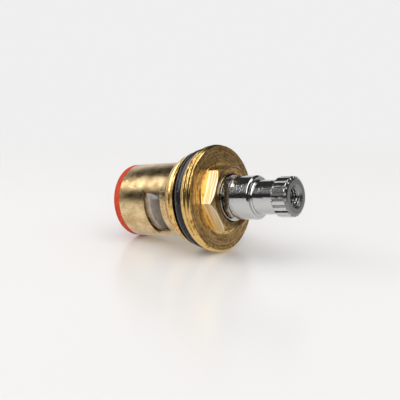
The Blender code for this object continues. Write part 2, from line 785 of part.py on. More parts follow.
def lay_down(empty):
    """Tilt the axis onto the table and centre the cartridge over the origin."""
    lowest_x = -seal_radius * facet_reach * math.sin(tilt) + SEAL_LIP_ROUND * math.cos(tilt)
    highest_x = spindle_top * math.cos(tilt) + SPLINE_END_RADIUS * facet_reach * math.sin(tilt)
    height = RIM_RADIUS * facet_reach * math.cos(tilt) - rim_edge * math.sin(tilt)
    empty.rotation_euler = (0.0, math.pi / 2 - tilt, 0.0)
    empty.location = (-(lowest_x + highest_x) / 2, 0.0, height)


for leftover in list(bpy.data.objects):
    bpy.data.objects.remove(leftover)

parts = bpy.data.collections.new("ceramic_disc_cartridge")
cutters = bpy.data.collections.new("cutters")
for group in (parts, cutters):
    bpy.context.scene.collection.children.link(group)

resting_axis = bpy.data.objects.new("resting_axis", None)
turning_axis = bpy.data.objects.new("turning_axis", None)
for empty in (resting_axis, turning_axis):
    parts.objects.link(empty)
turning_axis.parent = resting_axis
lay_down(resting_axis)

satin_brass = material("satin_brass", (0.72, 0.58, 0.34), 1.0, 0.32)
turned_brass = material("turned_brass", (0.70, 0.50, 0.22), 1.0, 0.28)
chromed_brass = material("chromed_brass", (0.74, 0.73, 0.71), 1.0, 0.15)
clip_steel = material("clip_steel", (0.40, 0.33, 0.27), 1.0, 0.30)
red_silicone = material("red_silicone", (0.60, 0.05, 0.03), 0.0, 0.55)
black_rubber = material("black_rubber", (0.02, 0.02, 0.02), 0.0, 0.45)
white_ceramic = material("white_ceramic", (0.85, 0.84, 0.80), 0.0, 0.20)
white_plastic = material("white_plastic", (0.62, 0.62, 0.60), 0.0, 0.40)

seal_ring()
seal_backing_ring()
ceramic_disc(
    "fixed_disc",
    fixed_port_angle,
    NOTCH_ANGLE,
    fixed_disc_bottom,
    FIXED_DISC_HEIGHT,
    white_ceramic,
    resting_axis,
)
ceramic_disc(
    "moving_disc",
    moving_port_angle,
    moving_port_angle + 90.0,
    moving_disc_bottom,
    MOVING_DISC_HEIGHT,
    white_ceramic,
    turning_axis,
)
disc_housing()
disc_driver()
head_body()
thrust_washer()
spindle()
retaining_clip()
ring(
    "body_o_ring",
    body_ring_centre,
    BODY_RING_SECTION,
    body_ring_height,
    SEGMENTS,
    black_rubber,
    resting_axis,
)
for ring_name, ring_height in spindle_ring_heights.items():
    ring(
        ring_name,
        spindle_ring_centre,
        SPINDLE_RING_SECTION,
        ring_height,
        RING_SEGMENTS,
        black_rubber,
        turning_axis,
    )
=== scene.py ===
# %% [markdown]
# # A ceramic disc tap cartridge, finished
#
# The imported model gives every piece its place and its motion. This script gives the
# cartridge its looks: smooth turned surfaces, a cut thread, a fluted spline, and the
# finishes of brass, chrome, rubber and ceramic. It loads the model, models each visible
# piece again along the cartridge's own axis, and lays it down where the model has it.

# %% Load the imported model
import json
import math

import bmesh
import bpy
from mathutils import Euler, Matrix, Vector


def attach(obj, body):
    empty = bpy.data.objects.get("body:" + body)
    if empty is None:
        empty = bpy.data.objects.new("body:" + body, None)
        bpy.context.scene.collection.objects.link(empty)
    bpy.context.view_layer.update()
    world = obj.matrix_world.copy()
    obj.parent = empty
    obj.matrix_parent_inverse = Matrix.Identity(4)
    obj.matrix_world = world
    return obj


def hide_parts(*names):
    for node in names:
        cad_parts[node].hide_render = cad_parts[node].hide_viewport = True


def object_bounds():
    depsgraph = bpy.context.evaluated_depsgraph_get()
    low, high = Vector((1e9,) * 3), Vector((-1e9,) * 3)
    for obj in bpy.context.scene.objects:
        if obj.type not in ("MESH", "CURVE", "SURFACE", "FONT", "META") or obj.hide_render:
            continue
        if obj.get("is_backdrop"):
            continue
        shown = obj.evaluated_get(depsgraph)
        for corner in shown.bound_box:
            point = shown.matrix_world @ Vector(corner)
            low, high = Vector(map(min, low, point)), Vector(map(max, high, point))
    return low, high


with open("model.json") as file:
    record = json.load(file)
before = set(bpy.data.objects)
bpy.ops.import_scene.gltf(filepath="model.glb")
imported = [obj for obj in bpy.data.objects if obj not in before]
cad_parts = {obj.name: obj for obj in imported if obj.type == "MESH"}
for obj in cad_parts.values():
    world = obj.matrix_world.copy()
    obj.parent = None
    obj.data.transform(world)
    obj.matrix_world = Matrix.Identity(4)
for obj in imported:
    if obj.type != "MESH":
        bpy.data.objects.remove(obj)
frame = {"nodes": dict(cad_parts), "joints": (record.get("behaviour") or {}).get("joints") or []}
cad_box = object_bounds()
MM = 0.001
print("nodes:", sorted(frame["nodes"]))

# %% [markdown]
# Lathe work is easiest to describe along its own axis. The spindle's joint says where
# that axis lies: it starts in the middle of the seal's open face and rises towards the
# splined end. Every piece is modelled with that axis as Z, then its mesh is moved by
# this matrix, so that the finished object itself sits at the origin.

# %% The axis that the cartridge lies along
spindle_joint = frame["joints"][0]
AXIS = Vector(spindle_joint["axis"]).normalized()
SEAL_CENTRE = Vector(spindle_joint["pos_m"])
TILT = math.asin(AXIS.z)
LYING = Matrix.Translation(SEAL_CENTRE) @ Matrix.Rotation(math.pi / 2 - TILT, 4, "Y")
print("axis rises by", round(math.degrees(TILT), 2), "degrees")

# %% [markdown]
# The camera looks at the cartridge from the splined end's side and slightly from above,
# as the photograph does. Its place is worked out from an azimuth, an elevation and a
# distance to the point in the middle of the picture.

# %% Camera
CAMERA_AZIMUTH = math.radians(37.13)
CAMERA_ELEVATION = math.radians(12.37)
CAMERA_DISTANCE = 175 * MM
CAMERA_TARGET = Vector((-5.35, 3.3, 9.9)) * MM
CAMERA_LENS = 67.27

camera_data = bpy.data.cameras.new("camera")
camera_data.lens = CAMERA_LENS
camera_data.sensor_width = 36.0
camera_data.clip_start = 1 * MM
camera = bpy.data.objects.new("camera", camera_data)
bpy.context.scene.collection.objects.link(camera)
camera.rotation_euler = Euler((math.pi / 2 - CAMERA_ELEVATION, 0.0, CAMERA_AZIMUTH))
camera.location = CAMERA_TARGET + camera.rotation_euler.to_matrix() @ Vector((0.0, 0.0, CAMERA_DISTANCE))
bpy.context.scene.camera = camera
bpy.context.scene.view_settings.view_transform = "Standard"
print("camera at", [round(x / MM, 1) for x in camera.location], "mm")

# %% [markdown]
# Shader and geometry trees are both built from nodes. One helper adds a node, gives it
# its settings, and fills its inputs with plain values or with links from other nodes.
# Colours are written as sRGB hex values, the way a colour picker shows them, and a second
# helper turns them into the linear values that Blender works with.

# %% Helpers for node trees and colours
def add_node(tree, kind, inputs=None, **settings):
    """Add a node. Each input takes a value, or another node's output, which is linked."""
    node = tree.nodes.new(kind)
    for name, value in settings.items():
        setattr(node, name, value)
    for name, value in (inputs or {}).items():
        if isinstance(value, bpy.types.NodeSocket):
            tree.links.new(value, node.inputs[name])
        else:
            node.inputs[name].default_value = value
    return node


def linear(hex_colour):
    """A colour like C8A35E as linear red, green, blue and alpha."""
    channels = [int(hex_colour[i:i + 2], 16) / 255 for i in (0, 2, 4)]
    return [c / 12.92 if c <= 0.04045 else ((c + 0.055) / 1.055) ** 2.4 for c in channels] + [1.0]


# %% [markdown]
# Metal looks like what it reflects, so the studio matters more than the colour. The
# photograph shows these bands in the brass from top to bottom: a light far backdrop, a
# dark ceiling, a bright softbox on the left, a dark gap near the horizon, and the white
# table. A bright canopy high on the right and in front lights the flats and the thread.
# The softbox has crinkled foil in it: satin brass smooths that out, and chrome shows it as
# scattered sparks. Its right end, which the spindle sees and the housing doesn't, is dim.
# The world makes all this by direction for glossy rays. Diffuse rays see
# an even soft grey, and the camera sees the pale background.

# %% World
BACKGROUND = 0.865
FILL_LIGHT = 0.7
CEILING = 0.04
HORIZON_GAP = 0.03
FAR_BACKDROP = 0.85
BACKDROP_RIGHT_END = 0.12
CANOPY = 4.8
SOFTBOX_PLACE = (-0.44, -0.243, 0.335)
SOFTBOX_SIZE = (0.42, 0.25)
FOIL_BRIGHT = 7.5
FOIL_DARK = 0.08

world = bpy.data.worlds.new("studio")
bpy.context.scene.world = world
world.use_nodes = True
sky = world.node_tree
sky.nodes.clear()
direction = add_node(sky, "ShaderNodeTexCoord").outputs["Generated"]
toward_camera = Vector((math.sin(CAMERA_AZIMUTH), -math.cos(CAMERA_AZIMUTH), 0.0))
facing = add_node(sky, "ShaderNodeVectorMath", {0: direction, 1: toward_camera}, operation="DOT_PRODUCT")
parts = add_node(sky, "ShaderNodeSeparateXYZ", {0: direction}).outputs
height = parts["Z"]
far_side = add_node(
    sky, "ShaderNodeMapRange", {0: facing.outputs["Value"], 1: -0.12, 2: -0.32}, interpolation_type="SMOOTHSTEP"
).outputs[0]
low_down = add_node(
    sky, "ShaderNodeMapRange", {0: height, 1: 0.45, 2: 0.37}, interpolation_type="SMOOTHSTEP"
).outputs[0]
backdrop_share = add_node(sky, "ShaderNodeMath", {0: far_side, 1: low_down}, operation="MULTIPLY").outputs[0]
ceiling_share = add_node(
    sky, "ShaderNodeMapRange", {0: height, 1: 0.3, 2: 0.5, 3: HORIZON_GAP, 4: CEILING}
).outputs[0]
backdrop = add_node(
    sky, "ShaderNodeMapRange", {0: parts["X"], 1: 0.05, 2: 0.5, 3: FAR_BACKDROP, 4: BACKDROP_RIGHT_END}
).outputs[0]
reflected = add_node(
    sky, "ShaderNodeMix", {0: backdrop_share, 2: ceiling_share, 3: backdrop}, data_type="FLOAT"
).outputs[0]
on_the_right = add_node(
    sky, "ShaderNodeMapRange", {0: parts["X"], 1: -0.42, 2: -0.12}, interpolation_type="SMOOTHSTEP"
).outputs[0]
high_up = add_node(
    sky, "ShaderNodeMapRange", {0: height, 1: 0.4, 2: 0.6}, interpolation_type="SMOOTHSTEP"
).outputs[0]
right_end = add_node(
    sky, "ShaderNodeMapRange", {0: parts["X"], 1: 0.48, 2: 0.34}, interpolation_type="SMOOTHSTEP"
).outputs[0]
in_front = add_node(
    sky, "ShaderNodeMapRange", {0: parts["Y"], 1: 0.5, 2: 0.15}, interpolation_type="SMOOTHSTEP"
).outputs[0]
canopy_share = add_node(sky, "ShaderNodeMath", {0: on_the_right, 1: high_up}, operation="MULTIPLY").outputs[0]
for limit in (right_end, in_front):
    canopy_share = add_node(sky, "ShaderNodeMath", {0: canopy_share, 1: limit}, operation="MULTIPLY").outputs[0]
reflected = add_node(
    sky, "ShaderNodeMix", {0: canopy_share, 2: reflected, 3: CANOPY}, data_type="FLOAT"
).outputs[0]

box_axis = Vector(SOFTBOX_PLACE).normalized()
box_right = box_axis.cross(Vector((0.0, 0.0, 1.0))).normalized()
box_up = box_right.cross(box_axis)
ahead, aside, upward = (
    add_node(sky, "ShaderNodeVectorMath", {0: direction, 1: way}, operation="DOT_PRODUCT").outputs["Value"]
    for way in (box_axis, box_right, box_up)
)
in_box = add_node(sky, "ShaderNodeMath", {0: ahead, 1: 0.0}, operation="GREATER_THAN").outputs[0]
on_box = []
for across, size in ((aside, SOFTBOX_SIZE[0]), (upward, SOFTBOX_SIZE[1])):
    half = size / 2 / Vector(SOFTBOX_PLACE).length
    place = add_node(sky, "ShaderNodeMath", {0: across, 1: ahead}, operation="DIVIDE").outputs[0]
    away = add_node(sky, "ShaderNodeMath", {0: place}, operation="ABSOLUTE").outputs[0]
    within = add_node(sky, "ShaderNodeMapRange", {0: away, 1: half + 0.02, 2: half - 0.02}).outputs[0]
    in_box = add_node(sky, "ShaderNodeMath", {0: in_box, 1: within}, operation="MULTIPLY").outputs[0]
    on_box.append(place)
foil_place = add_node(sky, "ShaderNodeCombineXYZ", {"X": on_box[0], "Y": on_box[1]}).outputs[0]
foil = add_node(sky, "ShaderNodeTexNoise", {"Vector": foil_place, "Scale": 24.0, "Detail": 2.0}).outputs["Fac"]
foil = add_node(
    sky, "ShaderNodeMapRange", {0: foil, 1: 0.5, 2: 0.58, 3: FOIL_DARK, 4: FOIL_BRIGHT}
).outputs[0]
dim_end = add_node(sky, "ShaderNodeMapRange", {0: parts["X"], 1: -0.7, 2: -0.745, 3: 0.1, 4: 1.0}).outputs[0]
foil = add_node(sky, "ShaderNodeMath", {0: foil, 1: dim_end}, operation="MULTIPLY").outputs[0]
reflected = add_node(
    sky, "ShaderNodeMix", {0: in_box, 2: reflected, 3: foil}, data_type="FLOAT"
).outputs[0]
rays = add_node(sky, "ShaderNodeLightPath").outputs
lit = add_node(sky, "ShaderNodeMix", {0: rays["Is Glossy Ray"], 2: FILL_LIGHT, 3: reflected}, data_type="FLOAT")
seen = add_node(sky, "ShaderNodeMix", {0: rays["Is Camera Ray"], 2: lit.outputs[0], 3: BACKGROUND}, data_type="FLOAT")
background = add_node(sky, "ShaderNodeBackground", {"Color": (1.0, 1.0, 1.0, 1.0), "Strength": seen.outputs[0]})
add_node(sky, "ShaderNodeOutputWorld", {"Surface": background.outputs[0]})

# %% [markdown]
# Three panels light the table and the matt pieces: the softbox to the left of the camera,
# a large one overhead, and a small one beside the lens that reaches through the window.
# They are hidden from reflections, because the world already shows the metal what it sees.

# %% Lights
def panel(name, place, size, radiance):
    """A rectangular softbox that faces the cartridge, with the brightness of its surface."""
    light = bpy.data.lights.new(name, "AREA")
    light.shape = "RECTANGLE"
    light.size, light.size_y = size
    light.energy = radiance * math.pi * size[0] * size[1]
    lamp = bpy.data.objects.new(name, light)
    bpy.context.scene.collection.objects.link(lamp)
    lamp.location = place
    lamp.rotation_euler = (-Vector(place)).to_track_quat("-Z", "Y").to_euler()
    lamp.visible_camera = False
    lamp.visible_glossy = False
    return lamp


panel("softbox_left", SOFTBOX_PLACE, SOFTBOX_SIZE, 2.6)
panel("overhead_panel", (0.35, -0.20, 0.85), (1.1, 1.1), 1.08)
panel("lens_side_panel", (0.40, -0.53, 0.13), (0.3, 0.3), 9.0)

# %% [markdown]
# The table is a plain white acrylic sheet. Near the cartridge it is a real surface that
# takes a soft shadow and a faint reflection, and further out it fades into the colour
# of the background, so no horizon shows.

# %% Table
TABLE_SIZE = 3.0
FADE_START = 0.07
FADE_END = 0.22

table_mesh = bpy.data.meshes.new("table")
half = TABLE_SIZE / 2
table_mesh.from_pydata(
    [(-half, -half, 0.0), (half, -half, 0.0), (half, half, 0.0), (-half, half, 0.0)], [], [(0, 1, 2, 3)]
)
table = bpy.data.objects.new("table", table_mesh)
bpy.context.scene.collection.objects.link(table)

white_acrylic = bpy.data.materials.new("white_acrylic")
white_acrylic.use_nodes = True
nodes = white_acrylic.node_tree
nodes.nodes.clear()
place = add_node(nodes, "ShaderNodeTexCoord").outputs["Object"]
distance = add_node(nodes, "ShaderNodeVectorMath", {0: place}, operation="LENGTH").outputs["Value"]
fade = add_node(
    nodes, "ShaderNodeMapRange", {0: distance, 1: FADE_START, 2: FADE_END}, interpolation_type="SMOOTHSTEP"
).outputs[0]
rays = add_node(nodes, "ShaderNodeLightPath").outputs
mirrored = add_node(nodes, "ShaderNodeMath", {0: rays["Is Glossy Ray"], 1: 0.5}, operation="MULTIPLY").outputs[0]
plain_share = add_node(
    nodes, "ShaderNodeMath", {0: rays["Is Camera Ray"], 1: fade}, operation="MULTIPLY"
).outputs[0]
plain_share = add_node(nodes, "ShaderNodeMath", {0: plain_share, 1: mirrored}, operation="MAXIMUM").outputs[0]
acrylic = add_node(
    nodes,
    "ShaderNodeBsdfPrincipled",
    {"Base Color": linear("E6E4E2"), "Roughness": 0.26, "Specular IOR Level": 0.6},
)
plain = add_node(nodes, "ShaderNodeEmission", {"Strength": BACKGROUND})
surface = add_node(nodes, "ShaderNodeMixShader", {0: plain_share, 1: acrylic.outputs[0], 2: plain.outputs[0]})
add_node(nodes, "ShaderNodeOutputMaterial", {"Surface": surface.outputs[0]})
table_mesh.materials.append(white_acrylic)
table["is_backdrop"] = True

# %% [markdown]
# ## Finishes
#
# Every finish starts from the same two things: the place on the piece along the
# cartridge's own axis, and how far round the axis it is. Marks from a lathe run round the
# piece, so their pattern is fine along the radius and the height and long round the axis.
# A Mapping node in Texture mode turns object coordinates back onto the axis.

# %% Coordinates on a turned piece
def axis_coordinates(tree):
    """The place on the cartridge's own axes, and its radius, height and turn as a vector."""
    place = add_node(tree, "ShaderNodeTexCoord").outputs["Object"]
    own = add_node(tree, "ShaderNodeMapping", {"Vector": place}, vector_type="TEXTURE")
    own.inputs["Location"].default_value = SEAL_CENTRE
    own.inputs["Rotation"].default_value = LYING.to_euler()
    along = add_node(tree, "ShaderNodeSeparateXYZ", {0: own.outputs[0]}).outputs
    flat = add_node(tree, "ShaderNodeCombineXYZ", {"X": along["X"], "Y": along["Y"]})
    radius = add_node(tree, "ShaderNodeVectorMath", {0: flat.outputs[0]}, operation="LENGTH").outputs["Value"]
    angle = add_node(tree, "ShaderNodeMath", {0: along["Y"], 1: along["X"]}, operation="ARCTAN2").outputs[0]
    arc = add_node(tree, "ShaderNodeMath", {0: angle, 1: 8 * MM}, operation="MULTIPLY").outputs[0]
    turned = add_node(tree, "ShaderNodeCombineXYZ", {"X": radius, "Y": arc, "Z": along["Z"]})
    return own.outputs[0], turned.outputs[0], radius, along["Z"]


# %% [markdown]
# A finish function makes the Principled shader and leaves its colour, roughness and bump
# to be linked. The mottle node is a noise pattern whose grain is given as a real size in
# millimetres, stretched along one axis where the tool left long marks.

# %% Building blocks of a finish
def finish(name, metallic, roughness, colour):
    """A material with a Principled shader: returns the material, its tree and the shader."""
    material = bpy.data.materials.new(name)
    material.use_nodes = True
    tree = material.node_tree
    shader = tree.nodes["Principled BSDF"]
    shader.inputs["Metallic"].default_value = metallic
    shader.inputs["Roughness"].default_value = roughness
    shader.inputs["Base Color"].default_value = linear(colour)
    return material, tree, shader


def mottle(tree, vector, grain, stretch=(1.0, 1.0, 1.0), detail=3.0):
    """Noise of a real grain size, longer along the axes with a larger stretch."""
    scale = [1.0 / (grain * s) for s in stretch]
    sized = add_node(tree, "ShaderNodeVectorMath", {0: vector, 1: scale}, operation="MULTIPLY")
    return add_node(
        tree, "ShaderNodeTexNoise", {"Vector": sized.outputs[0], "Scale": 1.0, "Detail": detail}
    ).outputs["Fac"]


def between(tree, value, low, high, out_low, out_high):
    """A value's range mapped to another, smoothly and without leaving it."""
    return add_node(
        tree,
        "ShaderNodeMapRange",
        {0: value, 1: low, 2: high, 3: out_low, 4: out_high},
        interpolation_type="SMOOTHSTEP",
    ).outputs[0]


def tint(tree, factor, first, second):
    """A colour between two sRGB colours."""
    mix = add_node(tree, "ShaderNodeMix", {0: factor, 6: linear(first), 7: linear(second)}, data_type="RGBA")
    return mix.outputs[2]


def emboss(tree, shader, height, depth):
    """Bump of a real depth on a shader, on top of any bump that it has already."""
    bump = add_node(tree, "ShaderNodeBump", {"Height": height, "Strength": 1.0, "Distance": depth})
    normal = shader.inputs["Normal"]
    if normal.is_linked:
        tree.links.new(normal.links[0].from_socket, bump.inputs["Normal"])
    tree.links.new(bump.outputs[0], normal)


# %% [markdown]
# The housing is brass tube that was tumbled in fine media: satin, with a speckle that
# breaks its reflections up. Real grain is finer than a pixel here, so the speckle is drawn
# at 0.28 mm to show. The eye gets a broad soft highlight that sparkles a little.

# %% Satin brass
satin_brass, tree, shader = finish("satin_brass", 1.0, 0.3, "D2B078")
own, turned_place, radius, height = axis_coordinates(tree)
speckle = mottle(tree, own, 0.28 * MM)
cloud = mottle(tree, own, 2.5 * MM, detail=2.0)
both = add_node(tree, "ShaderNodeMath", {0: cloud, 1: speckle}, operation="ADD").outputs[0]
tree.links.new(tint(tree, between(tree, both, 0.75, 1.25, 0.0, 1.0), "C3A371", "EBD2A4"), shader.inputs["Base Color"])
tree.links.new(between(tree, speckle, 0.3, 0.7, 0.17, 0.27), shader.inputs["Roughness"])
emboss(tree, shader, speckle, 0.04 * MM)
emboss(tree, shader, mottle(tree, turned_place, 0.12 * MM, (1.0, 40.0, 1.0)), 0.003 * MM)

# %% [markdown]
# The head is free-cutting brass, turned on a lathe and left as cut. Each pass of the tool
# leaves a fine groove right round the piece, and the colour is a deeper gold than the
# tumbled housing. Its front faces get a darker, rougher brass; on the hexagon's end that
# darkness is painted shade.

# %% Turned brass
def turned_brass_finish(name, light_colour, dark_colour, patina_share, roughness, mark_depth):
    """As-turned brass: ring marks, and brown patina over part of it."""
    material, tree, shader = finish(name, 1.0, roughness, light_colour)
    own, turned_place, radius, height = axis_coordinates(tree)
    marks = mottle(tree, turned_place, 0.22 * MM, (1.0, 30.0, 1.0))
    stain = mottle(tree, own, 0.8 * MM, detail=5.0)
    streak = mottle(tree, turned_place, 0.35 * MM, (1.0, 12.0, 1.0), detail=4.0)
    both = add_node(tree, "ShaderNodeMath", {0: stain, 1: streak}, operation="ADD").outputs[0]
    middle = 2 * (0.35 + 0.3 * (1.0 - patina_share))
    patina = between(tree, both, middle - 0.18, middle + 0.18, 0.0, 1.0)
    tree.links.new(tint(tree, patina, light_colour, dark_colour), shader.inputs["Base Color"])
    tree.links.new(between(tree, streak, 0.3, 0.7, roughness - 0.06, roughness + 0.08), shader.inputs["Roughness"])
    emboss(tree, shader, marks, mark_depth)
    return material


bright_brass = turned_brass_finish("bright_turned_brass", "E9C47C", "A9792F", 0.3, 0.22, 0.012 * MM)
# Darker brass for the front faces: on the hexagon's end its darkness is painted shade.
dark_front_brass = turned_brass_finish("stained_turned_brass", "BE9C66", "86683F", 0.5, 0.38, 0.02 * MM)

# %% [markdown]
# The hexagon's flats are milled after turning. A mill leaves straight marks that run round
# the hexagon, so a flat spreads what it reflects along the axis and keeps it narrow the
# other way. The anisotropic shader does that, with a tangent that circles the axis. The
# marks also tint the colour in streaks up to near white: that whiteness is painted highlight.

# %% Milled brass, with painted highlight
milled_brass, tree, shader = finish("milled_brass", 1.0, 0.42, "FDDC8E")
own, turned_place, radius, height = axis_coordinates(tree)
strokes_and_painted_highlight = mottle(tree, turned_place, 0.28 * MM, (40.0, 30.0, 1.0))
# Painted highlight: the strokes tint the flats from pale brass up to near white, standing in for where their
# reflection burns out.
tree.links.new(tint(tree, between(tree, strokes_and_painted_highlight, 0.4, 0.6, 0.0, 1.0), "F4D085", "FFF8E4"), shader.inputs["Base Color"])
tree.links.new(between(tree, strokes_and_painted_highlight, 0.3, 0.7, 0.36, 0.46), shader.inputs["Roughness"])
emboss(tree, shader, strokes_and_painted_highlight, 0.01 * MM)
shader.inputs["Anisotropic"].default_value = 0.9
shader.inputs["Anisotropic Rotation"].default_value = 0.25
around = add_node(tree, "ShaderNodeTangent", direction_type="RADIAL", axis="X")
tree.links.new(around.outputs[0], shader.inputs["Tangent"])

# %% [markdown]
# The spindle is brass with bright chrome plate. Plating follows the lathe marks below
# it and adds a faint orange-peel ripple, which breaks a straight reflection into drops.
# Its end is ground and a duller grey.

# %% Chrome plate
chrome_plate, tree, shader = finish("chrome_plate", 1.0, 0.08, "CBCBCA")
own, turned_place, radius, height = axis_coordinates(tree)
ripple = mottle(tree, own, 0.5 * MM, detail=3.0)
marks = mottle(tree, turned_place, 0.15 * MM, (1.0, 25.0, 1.0))
tree.links.new(between(tree, marks, 0.3, 0.7, 0.05, 0.13), shader.inputs["Roughness"])
emboss(tree, shader, ripple, 0.036 * MM)
emboss(tree, shader, marks, 0.004 * MM)

ground_end, tree, shader = finish("ground_end", 1.0, 0.3, "8E8E8C")
own, turned_place, radius, height = axis_coordinates(tree)
grinding = mottle(tree, own, 0.2 * MM)
tree.links.new(between(tree, grinding, 0.3, 0.7, 0.24, 0.4), shader.inputs["Roughness"])
emboss(tree, shader, grinding, 0.012 * MM)

# %% [markdown]
# The clip is stamped from thin stainless strip and has dulled to a warm grey. The rubber
# pieces are a moulded nitrile O-ring, smooth and slightly greasy, and a red silicone seal
# with a matt skin. Both have a little dust, which shows as fine light specks.

# %% Clip steel and rubbers
clip_steel, tree, shader = finish("stamped_steel", 1.0, 0.25, "BDB4AA")
own, turned_place, radius, height = axis_coordinates(tree)
tree.links.new(between(tree, mottle(tree, own, 0.4 * MM), 0.3, 0.7, 0.14, 0.3), shader.inputs["Roughness"])
emboss(tree, shader, mottle(tree, own, 0.25 * MM), 0.008 * MM)


def rubber_finish(name, colour, dust_colour, dust_share, roughness, grain):
    """Moulded rubber with a fine skin and specks of dust."""
    material, tree, shader = finish(name, 0.0, roughness, colour)
    own, turned_place, radius, height = axis_coordinates(tree)
    skin = mottle(tree, own, grain)
    dust = between(tree, mottle(tree, own, 0.35 * MM, detail=0.0), 0.76 - dust_share, 0.8 - dust_share, 0.0, 1.0)
    tree.links.new(tint(tree, dust, colour, dust_colour), shader.inputs["Base Color"])
    tree.links.new(between(tree, skin, 0.3, 0.7, roughness - 0.05, roughness + 0.1), shader.inputs["Roughness"])
    emboss(tree, shader, skin, 0.006 * MM)
    shader.inputs["Specular IOR Level"].default_value = 0.35
    return material


nitrile = rubber_finish("black_nitrile", "17181A", "6E6458", 0.0, 0.22, 0.2 * MM)
red_silicone = rubber_finish("red_silicone", "AB3010", "C46038", 0.07, 0.6, 0.25 * MM)

# %% [markdown]
# The driver is moulded acetal, a milky plastic with a soft sheen that lets some light in.
# The discs are sintered alumina, ground and lapped: white with a cool tone, and so smooth
# that they show a sharp faint gloss.

# %% Acetal and alumina
acetal, tree, shader = finish("milky_acetal", 0.0, 0.36, "CFC6BC")
own, turned_place, radius, height = axis_coordinates(tree)
flow = mottle(tree, own, 1.6 * MM)
tree.links.new(tint(tree, between(tree, flow, 0.3, 0.7, 0.0, 1.0), "90857B", "A3988D"), shader.inputs["Base Color"])
emboss(tree, shader, mottle(tree, own, 0.3 * MM), 0.006 * MM)
shader.inputs["Subsurface Weight"].default_value = 0.15
shader.inputs["Subsurface Radius"].default_value = (1.2 * MM, 0.9 * MM, 0.7 * MM)
shader.inputs["Subsurface Scale"].default_value = 1.0

alumina, tree, shader = finish("lapped_alumina", 0.0, 0.16, "EDEBE8")
own, turned_place, radius, height = axis_coordinates(tree)
grains = mottle(tree, own, 0.3 * MM)
tree.links.new(tint(tree, between(tree, grains, 0.3, 0.7, 0.0, 1.0), "E6E4E1", "F2F0EE"), shader.inputs["Base Color"])
tree.links.new(between(tree, grains, 0.3, 0.7, 0.12, 0.22), shader.inputs["Roughness"])

# %% [markdown]
# ## Turned pieces
#
# A turned piece is a profile revolved about the axis. The Screw modifier does this for a
# plain profile. Here a small function builds the rings itself, because the same rings are
# then cut by a thread or flutes, and the housing's rings bend round its windows. Each
# corner of the profile is first rounded by a short curve, with a support point on each
# side, so that the edge catches light and the flats beside it stay flat.

# %% Rounded profiles and rings
ROUND_STATIONS = 240
EDGE_ROUND = 0.08 * MM
EDGE_STEPS = 3


def softened(profile, closed=True, rounding=EDGE_ROUND):
    """Round the corners of a profile of (radius, height) or (radius, height, rounding)."""
    points = [Vector(p[:2]) for p in profile]
    count = len(points)
    smooth = []
    for i, corner in enumerate(points):
        if not closed and i in (0, count - 1):
            smooth.append(corner)
            continue
        before = points[i - 1] - corner
        after = points[(i + 1) % count] - corner
        size = profile[i][2] if len(profile[i]) > 2 else rounding
        size = min(size, before.length * 0.4, after.length * 0.4)
        start = corner + before.normalized() * size
        end = corner + after.normalized() * size
        smooth.append(corner + before.normalized() * size * 1.25)
        for step in range(EDGE_STEPS + 1):
            t = step / EDGE_STEPS
            smooth.append(start * (1 - t) ** 2 + corner * 2 * t * (1 - t) + end * t ** 2)
        smooth.append(corner + after.normalized() * size * 1.25)
    return smooth


def subdivided(profile, low, high, step):
    """The profile with extra points wherever it runs between two heights."""
    fine = []
    for first, second in zip(profile, profile[1:] + profile[:1]):
        fine.append(first)
        inside = low <= min(first.y, second.y) and max(first.y, second.y) <= high
        parts = math.ceil(abs(second.y - first.y) / step) if inside else 1
        fine += [first.lerp(second, i / parts) for i in range(1, parts)]
    return fine


def revolve(profile, angles, bend=None):
    """Rings of faces about the axis. bend can move a point: (radius, angle, height) to the same."""
    solid = bmesh.new()
    rings = []
    for radius, height in profile:
        if radius < 1e-7:
            rings.append([solid.verts.new((0.0, 0.0, height))])
            continue
        ring = []
        for angle in angles:
            r, a, z = bend(radius, angle, height) if bend else (radius, angle, height)
            ring.append(solid.verts.new((r * math.cos(a), r * math.sin(a), z)))
        rings.append(ring)
    pairs = list(zip(rings, rings[1:]))
    if len(rings[0]) > 1 and len(rings[-1]) > 1:
        pairs.append((rings[-1], rings[0]))
    for upper, lower in pairs:
        for i in range(len(angles)):
            j = (i + 1) % len(angles)
            corners = (upper[i % len(upper)], upper[j % len(upper)], lower[j % len(lower)], lower[i % len(lower)])
            solid.faces.new(dict.fromkeys(corners))
    return solid


def even_angles(count=ROUND_STATIONS):
    """Stations spaced evenly round the axis."""
    return [math.tau * i / count for i in range(count)]


# %% [markdown]
# The rings become an object in two steps. As a workpiece it still stands on its axis, and
# modifiers can cut it. To finish it, the evaluated mesh is taken, laid down by the matrix
# from above, and given back to the piece at the origin, which hangs on its body while its node is hidden.

# %% From rings to a finished piece
def workpiece(name, solid, *materials):
    """A mesh standing on its axis, ready to be cut."""
    bmesh.ops.remove_doubles(solid, verts=solid.verts, dist=1e-7)
    bmesh.ops.recalc_face_normals(solid, faces=solid.faces)
    mesh = bpy.data.meshes.new(name)
    solid.to_mesh(mesh)
    solid.free()
    for material in materials:
        mesh.materials.append(material)
    mesh.shade_smooth()
    piece = bpy.data.objects.new(name, mesh)
    bpy.context.scene.collection.objects.link(piece)
    return piece


def finished(piece, node, body, sharp_above=None):
    """Apply the modifiers, lay the piece down, hang it on its body and hide its node."""
    depsgraph = bpy.context.evaluated_depsgraph_get()
    mesh = bpy.data.meshes.new_from_object(piece.evaluated_get(depsgraph))
    piece.modifiers.clear()
    mesh.transform(LYING)
    if sharp_above:
        mesh.set_sharp_from_angle(angle=math.radians(sharp_above))
    piece.data = mesh
    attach(piece, body)
    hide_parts(node)
    print(piece.name, len(mesh.polygons), "faces")
    return piece


# %% [markdown]
# Some features are straight-sided instead: the clip, and the lugs, ribs, keys and slots
# that let the pieces turn each other. A filled curve makes such a blank from its outline,
# and the curve's own bevel rounds its edges. A small feature is let into the wall that it
# stands on. A slot is cut with a Boolean.

# %% Straight-sided features
FEATURE_EDGE = 0.06 * MM


